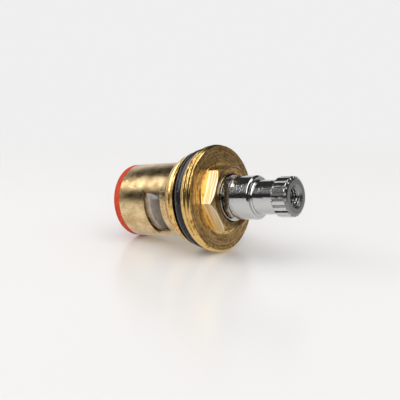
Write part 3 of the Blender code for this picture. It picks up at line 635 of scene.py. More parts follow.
def sector(inner_radius, outer_radius, middle, half_angle, steps=12):
    """The outline of a ring's sector, with its angles in degrees."""
    angles = [math.radians(middle + half_angle * (2 * i / steps - 1)) for i in range(steps + 1)]
    outer = [(outer_radius * math.cos(a), outer_radius * math.sin(a)) for a in angles]
    inner = [(inner_radius * math.cos(a), inner_radius * math.sin(a)) for a in angles]
    return outer + inner[::-1]


def bar(width, length, angle):
    """The outline of a rectangle that lies across the axis, its length at an angle in degrees."""
    turn = Matrix.Rotation(math.radians(angle), 2)
    corners = [(length, -width), (length, width), (-length, width), (-length, -width)]
    return [tuple(turn @ Vector(corner) / 2) for corner in corners]


def flat_blank(name, outline, bottom, top, edge=FEATURE_EDGE):
    """A straight-sided blank with rounded edges, from a closed outline."""
    curve = bpy.data.curves.new(name, "CURVE")
    curve.dimensions = "2D"
    curve.fill_mode = "BOTH"
    curve.extrude = (top - bottom) / 2 - edge
    curve.bevel_depth = edge
    curve.bevel_resolution = 2
    curve.offset = -edge
    spline = curve.splines.new("POLY")
    spline.points.add(len(outline) - 1)
    for point, (x, y) in zip(spline.points, outline):
        point.co = (x, y, 0.0, 1.0)
    spline.use_cyclic_u = True
    guide = bpy.data.objects.new(name, curve)
    bpy.context.scene.collection.objects.link(guide)
    depsgraph = bpy.context.evaluated_depsgraph_get()
    mesh = bpy.data.meshes.new_from_object(guide.evaluated_get(depsgraph))
    bpy.data.objects.remove(guide)
    solid = bmesh.new()
    solid.from_mesh(mesh)
    bmesh.ops.translate(solid, verts=solid.verts, vec=(0.0, 0.0, (bottom + top) / 2))
    return solid


def let_in(piece, outline, bottom, top):
    """Add a straight-sided feature to a workpiece, standing a little way into its wall."""
    solid = flat_blank(piece.name + "_feature", outline, bottom, top)
    bmesh.ops.remove_doubles(solid, verts=solid.verts, dist=1e-7)
    bmesh.ops.recalc_face_normals(solid, faces=solid.faces)
    solid.from_mesh(piece.data)
    solid.to_mesh(piece.data)
    solid.free()
    piece.data.shade_smooth()


def cut_out(piece, outline, bottom, top, operation="DIFFERENCE"):
    """Cut a straight-sided shape from a workpiece. Returns the tool, to be removed later."""
    tool = workpiece(piece.name + "_tool", flat_blank("tool", outline, bottom, top))
    boolean = piece.modifiers.new("cut_out", "BOOLEAN")
    boolean.object = tool
    boolean.operation = operation
    boolean.solver = "EXACT"
    return tool


# %% [markdown]
# ## The red seal
#
# A silicone washer fills the open end of the housing. Only its rounded lip shows from
# the side. A spigot on its inner side keeps it centred in the bore.

# %% Seal
SEAL_RADIUS = 8.5 * MM
INLET_RADIUS = 5.2 * MM
SEAL_HEIGHT = 1.8 * MM
SPIGOT_RADIUS = 7.45 * MM
SPIGOT_HEIGHT = 2.8 * MM
LIP_ROUND = 0.45 * MM

seal_profile = [
    (INLET_RADIUS, SPIGOT_HEIGHT),
    (SPIGOT_RADIUS, SPIGOT_HEIGHT),
    (SPIGOT_RADIUS, SEAL_HEIGHT),
    (SEAL_RADIUS, SEAL_HEIGHT),
    (SEAL_RADIUS, 0.0, LIP_ROUND),
    (INLET_RADIUS, 0.0, LIP_ROUND),
]
seal = workpiece("red_seal", revolve(softened(seal_profile), even_angles()), red_silicone)
finished(seal, "seal_ring", "cartridge_body")

# %% [markdown]
# ## The disc housing
#
# The housing is a tube with two windows milled through its wall. On the outer surface a
# window is a rectangle: two arcs of constant height and two straight ends. The cutter was
# a wheel, so the ends lean outwards through the wall. The rings take that shape if their
# stations bunch at the window's ends, a little further apart outside than inside. Leaving
# out the faces in between and closing the wall gives a clean mesh that a Bevel modifier
# can follow, which a Boolean cut would not.

# %% Housing
HOUSING_RADIUS = 8.55 * MM
HOUSING_BORE = 7.55 * MM
HOUSING_BOTTOM = 1.9 * MM
HOUSING_TOP = 18.9 * MM
WINDOW_BOTTOM = 9.6 * MM
WINDOW_TOP = 14.35 * MM
WINDOW_ANGLE = math.radians(-71.5)
WHEEL_RADIUS = 11.4 * MM
WHEEL_DISTANCE = 16.3 * MM
WINDOW_STATIONS = 50
WALL_STATIONS = 70
BURR_BEVEL = 0.07 * MM


def window_half_angle(radius):
    """How far the milling wheel reaches round the axis at a radius."""
    cosine = (radius ** 2 + WHEEL_DISTANCE ** 2 - WHEEL_RADIUS ** 2) / (2 * radius * WHEEL_DISTANCE)
    return math.acos(cosine)


def housing_station(index, radius):
    """The angle of a station: first across a window, then along the wall to the next."""
    half_turn, step = divmod(index, WINDOW_STATIONS + WALL_STATIONS)
    half = window_half_angle(radius)
    if step <= WINDOW_STATIONS:
        angle = half * (2 * step / WINDOW_STATIONS - 1)
    else:
        share = (step - WINDOW_STATIONS) / WALL_STATIONS
        angle = half + (math.pi - 2 * half) * share
    return WINDOW_ANGLE + math.pi * half_turn + angle


def in_window(index):
    """True if the faces after this station lie in a window."""
    return index % (WINDOW_STATIONS + WALL_STATIONS) < WINDOW_STATIONS


housing_profile = [
    Vector((HOUSING_BORE, HOUSING_TOP)),
    Vector((HOUSING_RADIUS, HOUSING_TOP)),
    Vector((HOUSING_RADIUS, WINDOW_TOP)),
    Vector((HOUSING_RADIUS, WINDOW_BOTTOM)),
    Vector((HOUSING_RADIUS, HOUSING_BOTTOM)),
    Vector((HOUSING_BORE, HOUSING_BOTTOM)),
    Vector((HOUSING_BORE, WINDOW_BOTTOM)),
    Vector((HOUSING_BORE, WINDOW_TOP)),
]
station_count = 2 * (WINDOW_STATIONS + WALL_STATIONS)
solid = revolve(
    housing_profile,
    range(station_count),
    bend=lambda radius, index, height: (radius, housing_station(index, radius), height),
)
solid.verts.ensure_lookup_table()
solid.faces.ensure_lookup_table()


def housing_vertex(ring, index):
    """The vertex on a ring of the profile at a station."""
    return solid.verts[ring * station_count + index % station_count]


doomed = []
for ring in (2, 6):
    doomed += [solid.faces[ring * station_count + i] for i in range(station_count) if in_window(i)]
bmesh.ops.delete(solid, geom=doomed, context="FACES_ONLY")
solid.verts.ensure_lookup_table()
for outer, inner in ((2, 7), (3, 6)):
    for i in filter(in_window, range(station_count)):
        solid.faces.new([
            housing_vertex(outer, i), housing_vertex(outer, i + 1),
            housing_vertex(inner, i + 1), housing_vertex(inner, i),
        ])
for i in (0, WINDOW_STATIONS, WINDOW_STATIONS + WALL_STATIONS, 2 * WINDOW_STATIONS + WALL_STATIONS):
    solid.faces.new([housing_vertex(ring, i) for ring in (2, 3, 6, 7)])

housing = workpiece("windowed_housing", solid, satin_brass)
for key_angle in (24.0, 204.0):
    let_in(housing, sector(6.75 * MM, 8.05 * MM, key_angle, 8.0), 4.1 * MM, 6.5 * MM)
bevel = housing.modifiers.new("deburred", "BEVEL")
bevel.width = BURR_BEVEL
bevel.segments = 3
bevel.limit_method = "ANGLE"
bevel.angle_limit = math.radians(40.0)
bevel.use_clamp_overlap = False
finished(housing, "disc_housing", "cartridge_body", sharp_above=28)

# %% [markdown]
# ## Thread and flutes by Geometry Nodes
#
# A screw thread is a rule: how far round and how far along the axis a point is decides
# how deep it lies. So one tree cuts any thread. It works out the turn number of every
# vertex, makes a ridge of it, and pulls the surface in to that ridge between two heights.
# The same tree cuts the outside thread of the rim and the inside thread of the screw
# hole, where the crest lies nearer the axis than the root.

# %% A Geometry Nodes tree that cuts a screw thread
def cutting_tree(name, inputs):
    """An empty tree with a geometry in and out, and named inputs. Returns it and its inputs."""
    tree = bpy.data.node_groups.new(name, "GeometryNodeTree")
    tree.interface.new_socket("Geometry", in_out="INPUT", socket_type="NodeSocketGeometry")
    tree.interface.new_socket("Geometry", in_out="OUTPUT", socket_type="NodeSocketGeometry")
    for title, kind in [*inputs, ("Finish", "NodeSocketMaterial")]:
        tree.interface.new_socket(title, in_out="INPUT", socket_type=kind)
    return tree, add_node(tree, "NodeGroupInput").outputs


def cut_to(tree, given, ridge, inside_limits):
    """Move each vertex to root + ridge x (crest - root), where that cuts material away."""
    place = add_node(tree, "GeometryNodeInputPosition").outputs[0]
    along = add_node(tree, "ShaderNodeSeparateXYZ", {0: place}).outputs
    across = add_node(tree, "ShaderNodeCombineXYZ", {"X": along["X"], "Y": along["Y"]}).outputs[0]
    radius = add_node(tree, "ShaderNodeVectorMath", {0: across}, operation="LENGTH").outputs["Value"]
    wanted = add_node(tree, "ShaderNodeMix", {0: ridge, 2: given["Root Radius"], 3: given["Crest Radius"]}).outputs[0]
    deeper = add_node(tree, "ShaderNodeMath", {0: radius, 1: wanted}, operation="MINIMUM").outputs[0]
    wider = add_node(tree, "ShaderNodeMath", {0: radius, 1: wanted}, operation="MAXIMUM").outputs[0]
    outside_cut = add_node(
        tree, "FunctionNodeCompare", {0: given["Crest Radius"], 1: given["Root Radius"]}, operation="GREATER_THAN"
    ).outputs[0]
    cut = add_node(tree, "GeometryNodeSwitch", {0: outside_cut, 1: wider, 2: deeper}, input_type="FLOAT").outputs[0]
    eased = add_node(tree, "ShaderNodeMix", {0: inside_limits, 2: radius, 3: cut}).outputs[0]
    depth = add_node(tree, "ShaderNodeMath", {0: eased, 1: radius}, operation="SUBTRACT").outputs[0]
    is_cut = add_node(
        tree, "FunctionNodeCompare", {0: depth, 1: 0.0, "Epsilon": 0.001 * MM}, operation="NOT_EQUAL"
    ).outputs[0]
    marked = add_node(tree, "GeometryNodeCaptureAttribute", {0: given["Geometry"]}, domain="POINT")
    marked.capture_items.new("BOOLEAN", "cut")
    tree.links.new(is_cut, marked.inputs[1])
    ratio = add_node(tree, "ShaderNodeMath", {0: eased, 1: radius}, operation="DIVIDE").outputs[0]
    moved = add_node(tree, "ShaderNodeVectorMath", {0: across, "Scale": ratio}, operation="SCALE").outputs[0]
    lifted = add_node(tree, "ShaderNodeCombineXYZ", {"Z": along["Z"]}).outputs[0]
    target = add_node(tree, "ShaderNodeVectorMath", {0: moved, 1: lifted}, operation="ADD").outputs[0]
    shaped = add_node(tree, "GeometryNodeSetPosition", {"Geometry": marked.outputs[0], "Position": target})
    real = add_node(tree, "GeometryNodeRealizeInstances", {0: shaped.outputs[0]})
    finished_cut = add_node(
        tree,
        "GeometryNodeSetMaterial",
        {"Geometry": real.outputs[0], "Selection": marked.outputs[1], "Material": given["Finish"]},
    )
    return finished_cut.outputs[0]


def ridge_of(tree, phase, crest_share):
    """A phase of 0 to 1 as a ridge: 0 at its ends, 1 over a flat crest in the middle."""
    from_middle = add_node(tree, "ShaderNodeMath", {0: phase, 1: 0.5}, operation="SUBTRACT").outputs[0]
    away = add_node(tree, "ShaderNodeMath", {0: from_middle}, operation="ABSOLUTE").outputs[0]
    return add_node(tree, "ShaderNodeMapRange", {0: away, 1: 0.5 - crest_share / 2, 2: crest_share / 2}).outputs[0]


thread_tree, given = cutting_tree("screw_thread", [
    ("Crest Radius", "NodeSocketFloat"),
    ("Root Radius", "NodeSocketFloat"),
    ("Pitch", "NodeSocketFloat"),
    ("Valley", "NodeSocketFloat"),
    ("Bottom", "NodeSocketFloat"),
    ("Top", "NodeSocketFloat"),
    ("Runout", "NodeSocketFloat"),
])
place = add_node(thread_tree, "GeometryNodeInputPosition").outputs[0]
along = add_node(thread_tree, "ShaderNodeSeparateXYZ", {0: place}).outputs
angle = add_node(thread_tree, "ShaderNodeMath", {0: along["Y"], 1: along["X"]}, operation="ARCTAN2").outputs[0]
turns = add_node(thread_tree, "ShaderNodeMath", {0: angle, 1: math.tau}, operation="DIVIDE").outputs[0]
lead = add_node(thread_tree, "ShaderNodeMath", {0: along["Z"], 1: given["Valley"]}, operation="SUBTRACT").outputs[0]
rise = add_node(thread_tree, "ShaderNodeMath", {0: lead, 1: given["Pitch"]}, operation="DIVIDE").outputs[0]
helix = add_node(thread_tree, "ShaderNodeMath", {0: rise, 1: turns}, operation="SUBTRACT").outputs[0]
phase = add_node(thread_tree, "ShaderNodeMath", {0: helix}, operation="FRACT").outputs[0]
ridge = ridge_of(thread_tree, phase, 0.22)
low_end = add_node(thread_tree, "ShaderNodeMath", {0: given["Bottom"], 1: given["Runout"]}, operation="ADD").outputs[0]
high_end = add_node(thread_tree, "ShaderNodeMath", {0: given["Top"], 1: given["Runout"]}, operation="SUBTRACT").outputs[0]
above = add_node(thread_tree, "ShaderNodeMapRange", {0: along["Z"], 1: given["Bottom"], 2: low_end}).outputs[0]
below = add_node(thread_tree, "ShaderNodeMapRange", {0: along["Z"], 1: given["Top"], 2: high_end}).outputs[0]
limits = add_node(thread_tree, "ShaderNodeMath", {0: above, 1: below}, operation="MULTIPLY").outputs[0]
add_node(thread_tree, "NodeGroupOutput", {0: cut_to(thread_tree, given, ridge, limits)})

# %% [markdown]
# The splined end has twenty flutes between its teeth. Their rule is simpler: only the
# angle counts, multiplied by the number of teeth. The front of the spline is a cone, and
# the flutes run out on it by themselves, because cutting never adds material.

# %% A Geometry Nodes tree that cuts flutes
flute_tree, given = cutting_tree("spline_flutes", [
    ("Teeth", "NodeSocketInt"),
    ("Crest Radius", "NodeSocketFloat"),
    ("Root Radius", "NodeSocketFloat"),
    ("Bottom", "NodeSocketFloat"),
    ("Top", "NodeSocketFloat"),
])
place = add_node(flute_tree, "GeometryNodeInputPosition").outputs[0]
along = add_node(flute_tree, "ShaderNodeSeparateXYZ", {0: place}).outputs
angle = add_node(flute_tree, "ShaderNodeMath", {0: along["Y"], 1: along["X"]}, operation="ARCTAN2").outputs[0]
turns = add_node(flute_tree, "ShaderNodeMath", {0: angle, 1: math.tau}, operation="DIVIDE").outputs[0]
teeth = add_node(flute_tree, "ShaderNodeMath", {0: turns, 1: given["Teeth"]}, operation="MULTIPLY").outputs[0]
phase = add_node(flute_tree, "ShaderNodeMath", {0: teeth}, operation="FRACT").outputs[0]
ridge = ridge_of(flute_tree, phase, 0.12)
above = add_node(flute_tree, "FunctionNodeCompare", {0: along["Z"], 1: given["Bottom"]}, operation="GREATER_THAN")
below = add_node(flute_tree, "FunctionNodeCompare", {0: along["Z"], 1: given["Top"]}, operation="LESS_THAN")
limits = add_node(
    flute_tree, "FunctionNodeBooleanMath", {0: above.outputs[0], 1: below.outputs[0]}, operation="AND"
).outputs[0]
add_node(flute_tree, "NodeGroupOutput", {0: cut_to(flute_tree, given, ridge, limits)})


# %% Apply a cutting tree to a workpiece
def cut_with(piece, tree, **sizes):
    """Add a cutting tree as a modifier. Its inputs are found by name and set by identifier."""
    cutter = piece.modifiers.new(tree.name, "NODES")
    cutter.node_group = tree
    for item in tree.interface.items_tree:
        key = item.name.lower().replace(" ", "_")
        if key in sizes:
            cutter[item.identifier] = sizes[key]


# %% [markdown]
# ## The head
#
# The head is one turned piece with five sections: the socket over the housing, the
# stepped collar, the O-ring groove, the threaded rim and the hexagon. Its hexagon is not
# turned but milled, so a function of the angle sets the radius there: the distance to the
# nearest flat, or to the cone of the chamfer, whichever is less.

# %% Sizes of the head
HEAD_BOTTOM = 16.8 * MM
SOCKET_FLOOR = 19.0 * MM
SOCKET_RADIUS = 8.65 * MM
COLLAR_RADIUS = 9.5 * MM
COLLAR_STEP_RADIUS = 10.25 * MM
COLLAR_STEP = 18.3 * MM
COLLAR_TOP_RADIUS = 10.8 * MM
GROOVE_BOTTOM = 19.95 * MM
GROOVE_RADIUS = 9.0 * MM
RIM_BOTTOM = 22.8 * MM
RIM_EDGE = 24.0 * MM
RIM_BACK_RADIUS = 11.4 * MM
RIM_RADIUS = 12.0 * MM
RIM_CHAMFER = 0.35 * MM
FLANGE_FRONT = 25.6 * MM
BOSS_RADIUS = 8.1 * MM
BOSS_TOP = 25.8 * MM
HEX_TOP = 28.65 * MM
HEX_FLAT_RADIUS = 6.75 * MM
HEX_FACE_RADIUS = 6.9 * MM
HEX_CHAMFER_HEIGHT = 0.85 * MM
HEX_CORNER_ANGLE = math.radians(30.0)
BORE_RADIUS = 5.23 * MM
BORE_CHAMFER = 0.25 * MM
HEX_RINGS = 56


def hexagon_radius(angle):
    """The distance from the axis to the hexagon's outline."""
    from_flat = (angle - HEX_CORNER_ANGLE) % math.radians(60.0) - math.radians(30.0)
    return HEX_FLAT_RADIUS / math.cos(from_flat)


def chamfer_radius(height):
    """The radius of the cone that cuts the hexagon's front corners."""
    slope = (BOSS_RADIUS - HEX_FACE_RADIUS) / HEX_CHAMFER_HEIGHT
    return HEX_FACE_RADIUS + (HEX_TOP - height) * slope


def soft_least(first, second, blend):
    """The smaller of two sizes, with a rounded change from one to the other."""
    overlap = max(blend - abs(first - second), 0.0) / blend
    return min(first, second) - overlap ** 2 * blend / 4


# %% [markdown]
# The stations round the head are denser near the six corners of the hexagon, where an
# edge has to be crisp. The rings over the hexagon start at the milled boss and get
# closer towards the chamfer.

# %% Rings of the head
corner_offsets = [0.0, 0.25, 0.6, 1.1, 1.9, 3.0, 4.5, 6.0, 8.0, 10.0, 12.0, 14.0, 16.0, 18.0, 20.0, 22.5, 25.0, 27.5]
offsets = sorted({sign * step for step in corner_offsets for sign in (-1, 1)} | {30.0})
head_angles = [
    HEX_CORNER_ANGLE + math.radians(60.0 * corner + offset) for corner in range(6) for offset in offsets
]

front = [
    (BORE_RADIUS + BORE_CHAMFER, HEX_TOP),
    (HEX_FACE_RADIUS - 0.12 * MM, HEX_TOP),
]
hex_mark = 0.5 * MM
for i in range(HEX_RINGS + 1):
    share = i / HEX_RINGS
    front.append((BOSS_RADIUS - hex_mark, HEX_TOP - (HEX_TOP - BOSS_TOP) * share ** 1.8))
back = [
    (BOSS_RADIUS - 0.01 * MM, BOSS_TOP),
    (BOSS_RADIUS, FLANGE_FRONT),
    (RIM_RADIUS - RIM_CHAMFER, FLANGE_FRONT),
    (RIM_RADIUS, FLANGE_FRONT - RIM_CHAMFER),
    (RIM_RADIUS, RIM_EDGE),
    (RIM_BACK_RADIUS, RIM_BOTTOM),
    (GROOVE_RADIUS, RIM_BOTTOM),
    (GROOVE_RADIUS, GROOVE_BOTTOM),
    (COLLAR_TOP_RADIUS, GROOVE_BOTTOM),
    (COLLAR_TOP_RADIUS - 0.12 * MM, COLLAR_STEP + 0.95 * MM),
    (COLLAR_STEP_RADIUS - 0.18 * MM, COLLAR_STEP + 0.4 * MM),
    (COLLAR_STEP_RADIUS, COLLAR_STEP),
    (COLLAR_STEP_RADIUS - 0.08 * MM, COLLAR_STEP - 0.3 * MM),
    (COLLAR_RADIUS, HEAD_BOTTOM),
    (SOCKET_RADIUS, HEAD_BOTTOM),
    (SOCKET_RADIUS, SOCKET_FLOOR),
    (BORE_RADIUS, SOCKET_FLOOR),
    (BORE_RADIUS, HEX_TOP - BORE_CHAMFER),
]
THREAD_STEP = 0.05 * MM
back_rings = softened(back, closed=False)
rim_rings = subdivided(back_rings, RIM_BOTTOM, FLANGE_FRONT, THREAD_STEP)
head_rings = [Vector(p) for p in front] + rim_rings


def mill_hexagon(radius, angle, height):
    """Move the points that stand for the hexagon's side onto its flats and chamfer."""
    if abs(radius - (BOSS_RADIUS - hex_mark)) > 1e-9:
        return radius, angle, height
    flat = hexagon_radius(angle)
    return soft_least(flat, chamfer_radius(height), 0.12 * MM), angle, height


# %% [markdown]
# Each face then gets the finish that its place calls for: milled on the flats, a darker
# rougher brass on the flange's front, the hexagon's end, its chamfer and the bore's mouth,
# whose darkness on the hexagon's end is painted shade, and bright on the rim and the collar.
# The thread is cut last. Its crests stand at the rim's own radius, so the size stays as modelled.

# %% Head
THREAD_PITCH = 1.0 * MM
THREAD_DEPTH = 0.35 * MM
THREAD_VALLEY = 24.65 * MM

head = workpiece(
    "turned_head", revolve(head_rings, head_angles, bend=mill_hexagon), bright_brass, milled_brass, dark_front_brass
)
for face in head.data.polygons:
    height = face.center.z
    radius = math.hypot(face.center.x, face.center.y)
    # Milled brass on the hexagon's sides, the darker brass on the other front faces; on the hexagon's end that
    # darkness is painted shade.
    if height > BOSS_TOP + 0.02 * MM and radius > HEX_FACE_RADIUS - 0.2 * MM and abs(face.normal.z) < 0.3:
        face.material_index = 1
    elif height > BOSS_TOP + 0.02 * MM or abs(height - FLANGE_FRONT) < 0.02 * MM:
        face.material_index = 2
for rib_angle in (150.0, 330.0):
    let_in(head, sector(6.5 * MM, 7.45 * MM, rib_angle, 24.0), 16.2 * MM, 19.8 * MM)
cut_with(
    head,
    thread_tree,
    crest_radius=RIM_RADIUS,
    root_radius=RIM_RADIUS - THREAD_DEPTH,
    pitch=THREAD_PITCH,
    valley=THREAD_VALLEY,
    bottom=RIM_BOTTOM + 0.02 * MM,
    top=FLANGE_FRONT - 0.02 * MM,
    runout=0.05 * MM,
    finish=bright_brass,
)
finished(head, "head_body", "cartridge_body", sharp_above=60)

# %% [markdown]
# ## The O-ring
#
# An O-ring is a circle turned about the axis. The mould leaves a faint line where its
# halves met, round the outside, and the ring lies against the back of the rim.

# %% O-ring in the head's groove
RING_RADIUS = 10.2 * MM
RING_SECTION = 2.2 * MM
RING_HEIGHT = 21.6 * MM
FLASH_STAND = 0.02 * MM
SECTION_STEPS = 36

section = []
for i in range(SECTION_STEPS):
    around = math.tau * i / SECTION_STEPS
    stand = RING_SECTION / 2 + (FLASH_STAND if i == 0 else 0.0)
    section.append((RING_RADIUS + stand * math.cos(around), RING_HEIGHT + stand * math.sin(around)))
o_ring = workpiece("head_o_ring", revolve(section, even_angles()), nitrile)
finished(o_ring, "body_o_ring", "cartridge_body")

# %% [markdown]
# ## The spindle
#
# The spindle is turned from bar, splined, drilled and tapped, then chromed. From the head
# outwards come the journal, the groove for the clip, the shank, the neck and the splined
# end. Inside the head it has a flange with two stop lugs and a tongue that turns the
# driver. Only the screw hole, with its fine thread, gets closely spaced rings.

# %% Spindle
JOURNAL_RADIUS = 5.13 * MM
JOURNAL_TOP = 28.92 * MM
CLIP_CORE_RADIUS = 3.2 * MM
SHANK_RADIUS = 4.8 * MM
SHANK_BOTTOM = 30.6 * MM
SHANK_TOP = 35.6 * MM
SHANK_CHAMFER = 0.35 * MM
NECK_RADIUS = 3.72 * MM
SPLINE_BOTTOM = 40.75 * MM
SPLINE_RADIUS = 4.31 * MM
SPLINE_DEPTH = 0.42 * MM
SPLINE_BACK = 0.3 * MM
SPLINE_TEETH = 20
SPINDLE_TOP = 44.6 * MM
END_RADIUS = 3.62 * MM
END_CHAMFER = 0.5 * MM
HOLE_RADIUS = 1.65 * MM
HOLE_BOTTOM = 35.6 * MM
HOLE_POINT = 34.6 * MM
HOLE_MOUTH_RADIUS = 2.55 * MM
HOLE_MOUTH_DEPTH = 0.9 * MM
M4_PITCH = 0.7 * MM
M4_DEPTH = 0.38 * MM
SPINDLE_FLANGE_TOP = 18.0 * MM
SPINDLE_FLANGE_BOTTOM = 16.1 * MM
SPINDLE_FLANGE_RADIUS = 6.4 * MM
LUG_RADIUS = 7.35 * MM
LUG_ANGLE = math.radians(195.0)
LUG_HALF_ANGLE = math.radians(20.0)
RING_GROOVE_RADIUS = 3.83 * MM
RING_GROOVE_WIDTH = 1.6 * MM
RING_GROOVES = (24.86 * MM, 22.06 * MM)
TONGUE_BOTTOM = 15.1 * MM
TONGUE_TOP = 17.05 * MM

spindle_profile = [
    (0.0, HOLE_POINT),
    (HOLE_RADIUS, HOLE_BOTTOM),
    (HOLE_RADIUS, SPINDLE_TOP - HOLE_MOUTH_DEPTH),
    (HOLE_MOUTH_RADIUS, SPINDLE_TOP),
    (END_RADIUS, SPINDLE_TOP),
    (SPLINE_RADIUS, SPINDLE_TOP - END_CHAMFER),
    (SPLINE_RADIUS, SPLINE_BOTTOM + SPLINE_BACK),
    (SPLINE_RADIUS - SPLINE_BACK, SPLINE_BOTTOM),
    (NECK_RADIUS, SPLINE_BOTTOM, 0.2 * MM),
    (NECK_RADIUS, SHANK_TOP, 0.25 * MM),
    (SHANK_RADIUS - SHANK_CHAMFER, SHANK_TOP),
    (SHANK_RADIUS, SHANK_TOP - SHANK_CHAMFER),
    (SHANK_RADIUS, SHANK_BOTTOM),
    (CLIP_CORE_RADIUS, SHANK_BOTTOM),
    (CLIP_CORE_RADIUS, JOURNAL_TOP),
    (JOURNAL_RADIUS, JOURNAL_TOP),
]
for groove in RING_GROOVES:
    spindle_profile += [
        (JOURNAL_RADIUS, groove + RING_GROOVE_WIDTH / 2),
        (RING_GROOVE_RADIUS, groove + RING_GROOVE_WIDTH / 2),
        (RING_GROOVE_RADIUS, groove - RING_GROOVE_WIDTH / 2),
        (JOURNAL_RADIUS, groove - RING_GROOVE_WIDTH / 2),
    ]
spindle_profile += [
    (JOURNAL_RADIUS, SPINDLE_FLANGE_TOP),
    (SPINDLE_FLANGE_RADIUS, SPINDLE_FLANGE_TOP),
    (SPINDLE_FLANGE_RADIUS, SPINDLE_FLANGE_BOTTOM),
    (0.0, SPINDLE_FLANGE_BOTTOM),
]


def mill_lugs(radius, angle, height):
    """Let the flange's rim stand out to the stop lugs at two opposite places."""
    on_rim = radius > SPINDLE_FLANGE_RADIUS - 0.11 * MM and height < SPINDLE_FLANGE_TOP + 0.01 * MM
    from_lug = (angle - LUG_ANGLE + math.pi / 2) % math.pi - math.pi / 2
    if on_rim and abs(from_lug) < LUG_HALF_ANGLE:
        return radius + LUG_RADIUS - SPINDLE_FLANGE_RADIUS, angle, height
    return radius, angle, height


spindle_rings = softened(spindle_profile, closed=False)
past_hole = next(i for i, point in enumerate(spindle_rings) if point.x > HOLE_MOUTH_RADIUS)
hole_rings = subdivided(spindle_rings[:past_hole], HOLE_BOTTOM, SPINDLE_TOP, 0.06 * MM)
spline_rings = subdivided(spindle_rings[past_hole:], SPLINE_BOTTOM, SPINDLE_TOP, 0.15 * MM)
spindle_rings = hole_rings + spline_rings
spindle = workpiece(
    "chromed_spindle", revolve(spindle_rings, even_angles(), bend=mill_lugs), chrome_plate, ground_end
)
for face in spindle.data.polygons:
    if face.center.z > SPINDLE_TOP - HOLE_MOUTH_DEPTH and abs(face.normal.z) > 0.5:
        face.material_index = 1
let_in(spindle, bar(2.8 * MM, 9.0 * MM, -55.5), TONGUE_BOTTOM, TONGUE_TOP)
cut_with(
    spindle,
    flute_tree,
    teeth=SPLINE_TEETH,
    crest_radius=SPLINE_RADIUS + SPLINE_DEPTH,
    root_radius=SPLINE_RADIUS - SPLINE_DEPTH,
    bottom=SPLINE_BOTTOM - 0.01 * MM,
    top=SPINDLE_TOP + 0.01 * MM,
    finish=chrome_plate,
)
cut_with(
    spindle,
    thread_tree,
    crest_radius=HOLE_RADIUS,
    root_radius=HOLE_RADIUS + M4_DEPTH,
    pitch=M4_PITCH,
    valley=SPINDLE_TOP,
    bottom=HOLE_BOTTOM,
    top=SPINDLE_TOP + 0.01 * MM,
    runout=0.2 * MM,
    finish=chrome_plate,
)
finished(spindle, "spindle", "spindle", sharp_above=50)

# %% [markdown]
# ## The retaining clip
#
# The clip is stamped from flat strip: a horseshoe with a straight bridge, one cut corner,
# one small ear and a slot that snaps over the spindle. It is a blank with the rolled edge
# that stamping leaves, turned to where the photograph shows its bridge.

# %% Clip
CLIP_BOTTOM = 29.45 * MM
CLIP_TOP = 30.5 * MM
CLIP_HALF_WIDTH = 4.18 * MM
CLIP_BRIDGE = 4.62 * MM
CLIP_ARM_REACH = 2.9 * MM
CLIP_SLOT = 3.3 * MM
CLIP_EAR_WIDTH = 1.1 * MM
CLIP_EAR_STAND = 0.3 * MM
CLIP_CORNER_CUT = 1.7 * MM
CLIP_ANGLE = math.radians(-9.0)
CLIP_EDGE = 0.09 * MM

throat_angles = [math.radians(180.0 + 180.0 * i / 24) for i in range(25)]
throat = [(CLIP_SLOT * math.cos(a), CLIP_SLOT * math.sin(a)) for a in throat_angles]
clip_outline = [
    (-CLIP_SLOT, CLIP_ARM_REACH),
    *throat,
    (CLIP_SLOT, CLIP_ARM_REACH),
    (CLIP_HALF_WIDTH, CLIP_ARM_REACH),
    (CLIP_HALF_WIDTH, CLIP_CORNER_CUT - CLIP_BRIDGE),
    (CLIP_HALF_WIDTH - CLIP_CORNER_CUT, -CLIP_BRIDGE),
    (CLIP_EAR_WIDTH - CLIP_HALF_WIDTH, -CLIP_BRIDGE),
    (CLIP_EAR_WIDTH - CLIP_HALF_WIDTH, -CLIP_BRIDGE - CLIP_EAR_STAND),
    (-CLIP_HALF_WIDTH, -CLIP_BRIDGE - CLIP_EAR_STAND),
    (-CLIP_HALF_WIDTH, CLIP_ARM_REACH),
]
solid = flat_blank("clip_blank", clip_outline, CLIP_BOTTOM, CLIP_TOP, CLIP_EDGE)
bmesh.ops.rotate(solid, verts=solid.verts, matrix=Matrix.Rotation(CLIP_ANGLE, 3, "Z"))
clip = workpiece("stamped_clip", solid, clip_steel)
finished(clip, "retaining_clip", "spindle", sharp_above=35)

# %% [markdown]
# ## The driver
#
# The plastic driver shows through the windows. It is moulded: a ring of two webs with
# thick rounded pads, a waist and a collar. The blanks take out the two gaps between the
# webs, through which the water runs, and the slot for the spindle's tongue. Two lugs
# below it turn the moving disc.

# %% Driver
DRIVER_BOTTOM = 9.4 * MM
DRIVER_TOP = 16.0 * MM
DRIVER_RADIUS = 7.35 * MM
DRIVER_RING_TOP = 10.35 * MM
DRIVER_RING_ROUND = 0.4 * MM
DRIVER_WAIST = 3.4 * MM
DRIVER_FILLET = 0.5 * MM
DRIVER_COLLAR = 7.0 * MM
DRIVER_COLLAR_BOTTOM = 14.6 * MM
GAP_ANGLE = 34.5
GAP_HALF_ANGLE = 47.5
PAD_ANGLE = 13.0
PAD_DEPTH = 0.75 * MM
DRIVER_LUG_INNER = 6.65 * MM
DRIVER_LUG_BOTTOM = 8.0 * MM
LUG_IN_RING = 9.875 * MM
TONGUE_ANGLE = -55.5

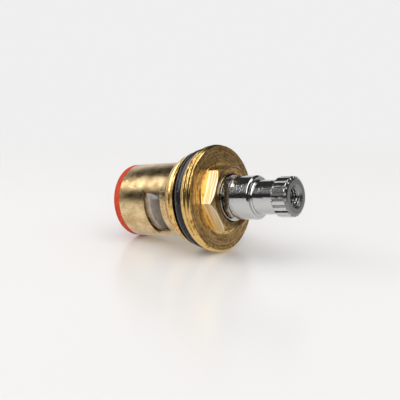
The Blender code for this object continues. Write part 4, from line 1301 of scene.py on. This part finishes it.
driver_profile = [
    (0.0, DRIVER_TOP),
    (DRIVER_COLLAR, DRIVER_TOP, 0.2 * MM),
    (DRIVER_COLLAR, DRIVER_COLLAR_BOTTOM, 0.2 * MM),
    (DRIVER_WAIST, DRIVER_COLLAR_BOTTOM, DRIVER_FILLET),
    (DRIVER_WAIST, DRIVER_RING_TOP, DRIVER_FILLET),
    (DRIVER_RADIUS, DRIVER_RING_TOP, DRIVER_RING_ROUND),
    (DRIVER_RADIUS, DRIVER_BOTTOM),
    (0.0, DRIVER_BOTTOM),
]
driver = workpiece("moulded_driver", revolve(softened(driver_profile, closed=False), even_angles()), acetal)
blanks = []
for turn in (0.0, 180.0):
    pads = sector(DRIVER_RADIUS - PAD_DEPTH, DRIVER_RADIUS + PAD_DEPTH, GAP_ANGLE + turn, GAP_HALF_ANGLE - PAD_ANGLE)
    gap = sector(DRIVER_WAIST, DRIVER_RADIUS - PAD_DEPTH, GAP_ANGLE + turn, GAP_HALF_ANGLE)
    steps = len(gap) // 2
    outline = [gap[0], *pads[: len(pads) // 2], gap[steps - 1], *gap[steps:]]
    blanks.append(cut_out(driver, outline, DRIVER_BOTTOM - 0.3 * MM, DRIVER_RING_TOP + 0.3 * MM))
    lug = sector(DRIVER_LUG_INNER, DRIVER_RADIUS, TONGUE_ANGLE + turn, 8.0)
    blanks.append(cut_out(driver, lug, DRIVER_LUG_BOTTOM, LUG_IN_RING, "UNION"))
slot = bar(3.0 * MM, 9.2 * MM, TONGUE_ANGLE)
blanks.append(cut_out(driver, slot, TONGUE_BOTTOM - 0.1 * MM, DRIVER_TOP + 0.3 * MM))
finished(driver, "disc_driver", "valve_disc", sharp_above=40)
for blank in blanks:
    bpy.data.objects.remove(blank)

# %% [markdown]
# ## Pieces that stay as modelled
#
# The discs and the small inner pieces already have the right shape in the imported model.
# They keep it, and only get their real finish.

# %% Finishes for the carried-over nodes
def dress(node, material):
    """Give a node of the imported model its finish."""
    mesh = frame["nodes"][node].data
    mesh.materials.clear()
    mesh.materials.append(material)


for node in ("fixed_disc", "moving_disc"):
    dress(node, alumina)
for node in ("seal_backing_ring", "thrust_washer"):
    dress(node, acetal)
for node in ("spindle_o_ring_lower", "spindle_o_ring_upper"):
    dress(node, nitrile)

# %% [markdown]
# The last step prints the sizes of the model's box and of the finished box.

# %% Sizes
bpy.context.view_layer.update()
boxes = {"cad": cad_box, "visual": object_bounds()}
plain_boxes = {name: [[float(x) for x in corner] for corner in box] for name, box in boxes.items()}
for name, (low, high) in plain_boxes.items():
    print(name, [round((b - a) / MM, 2) for a, b in zip(low, high)], "mm")
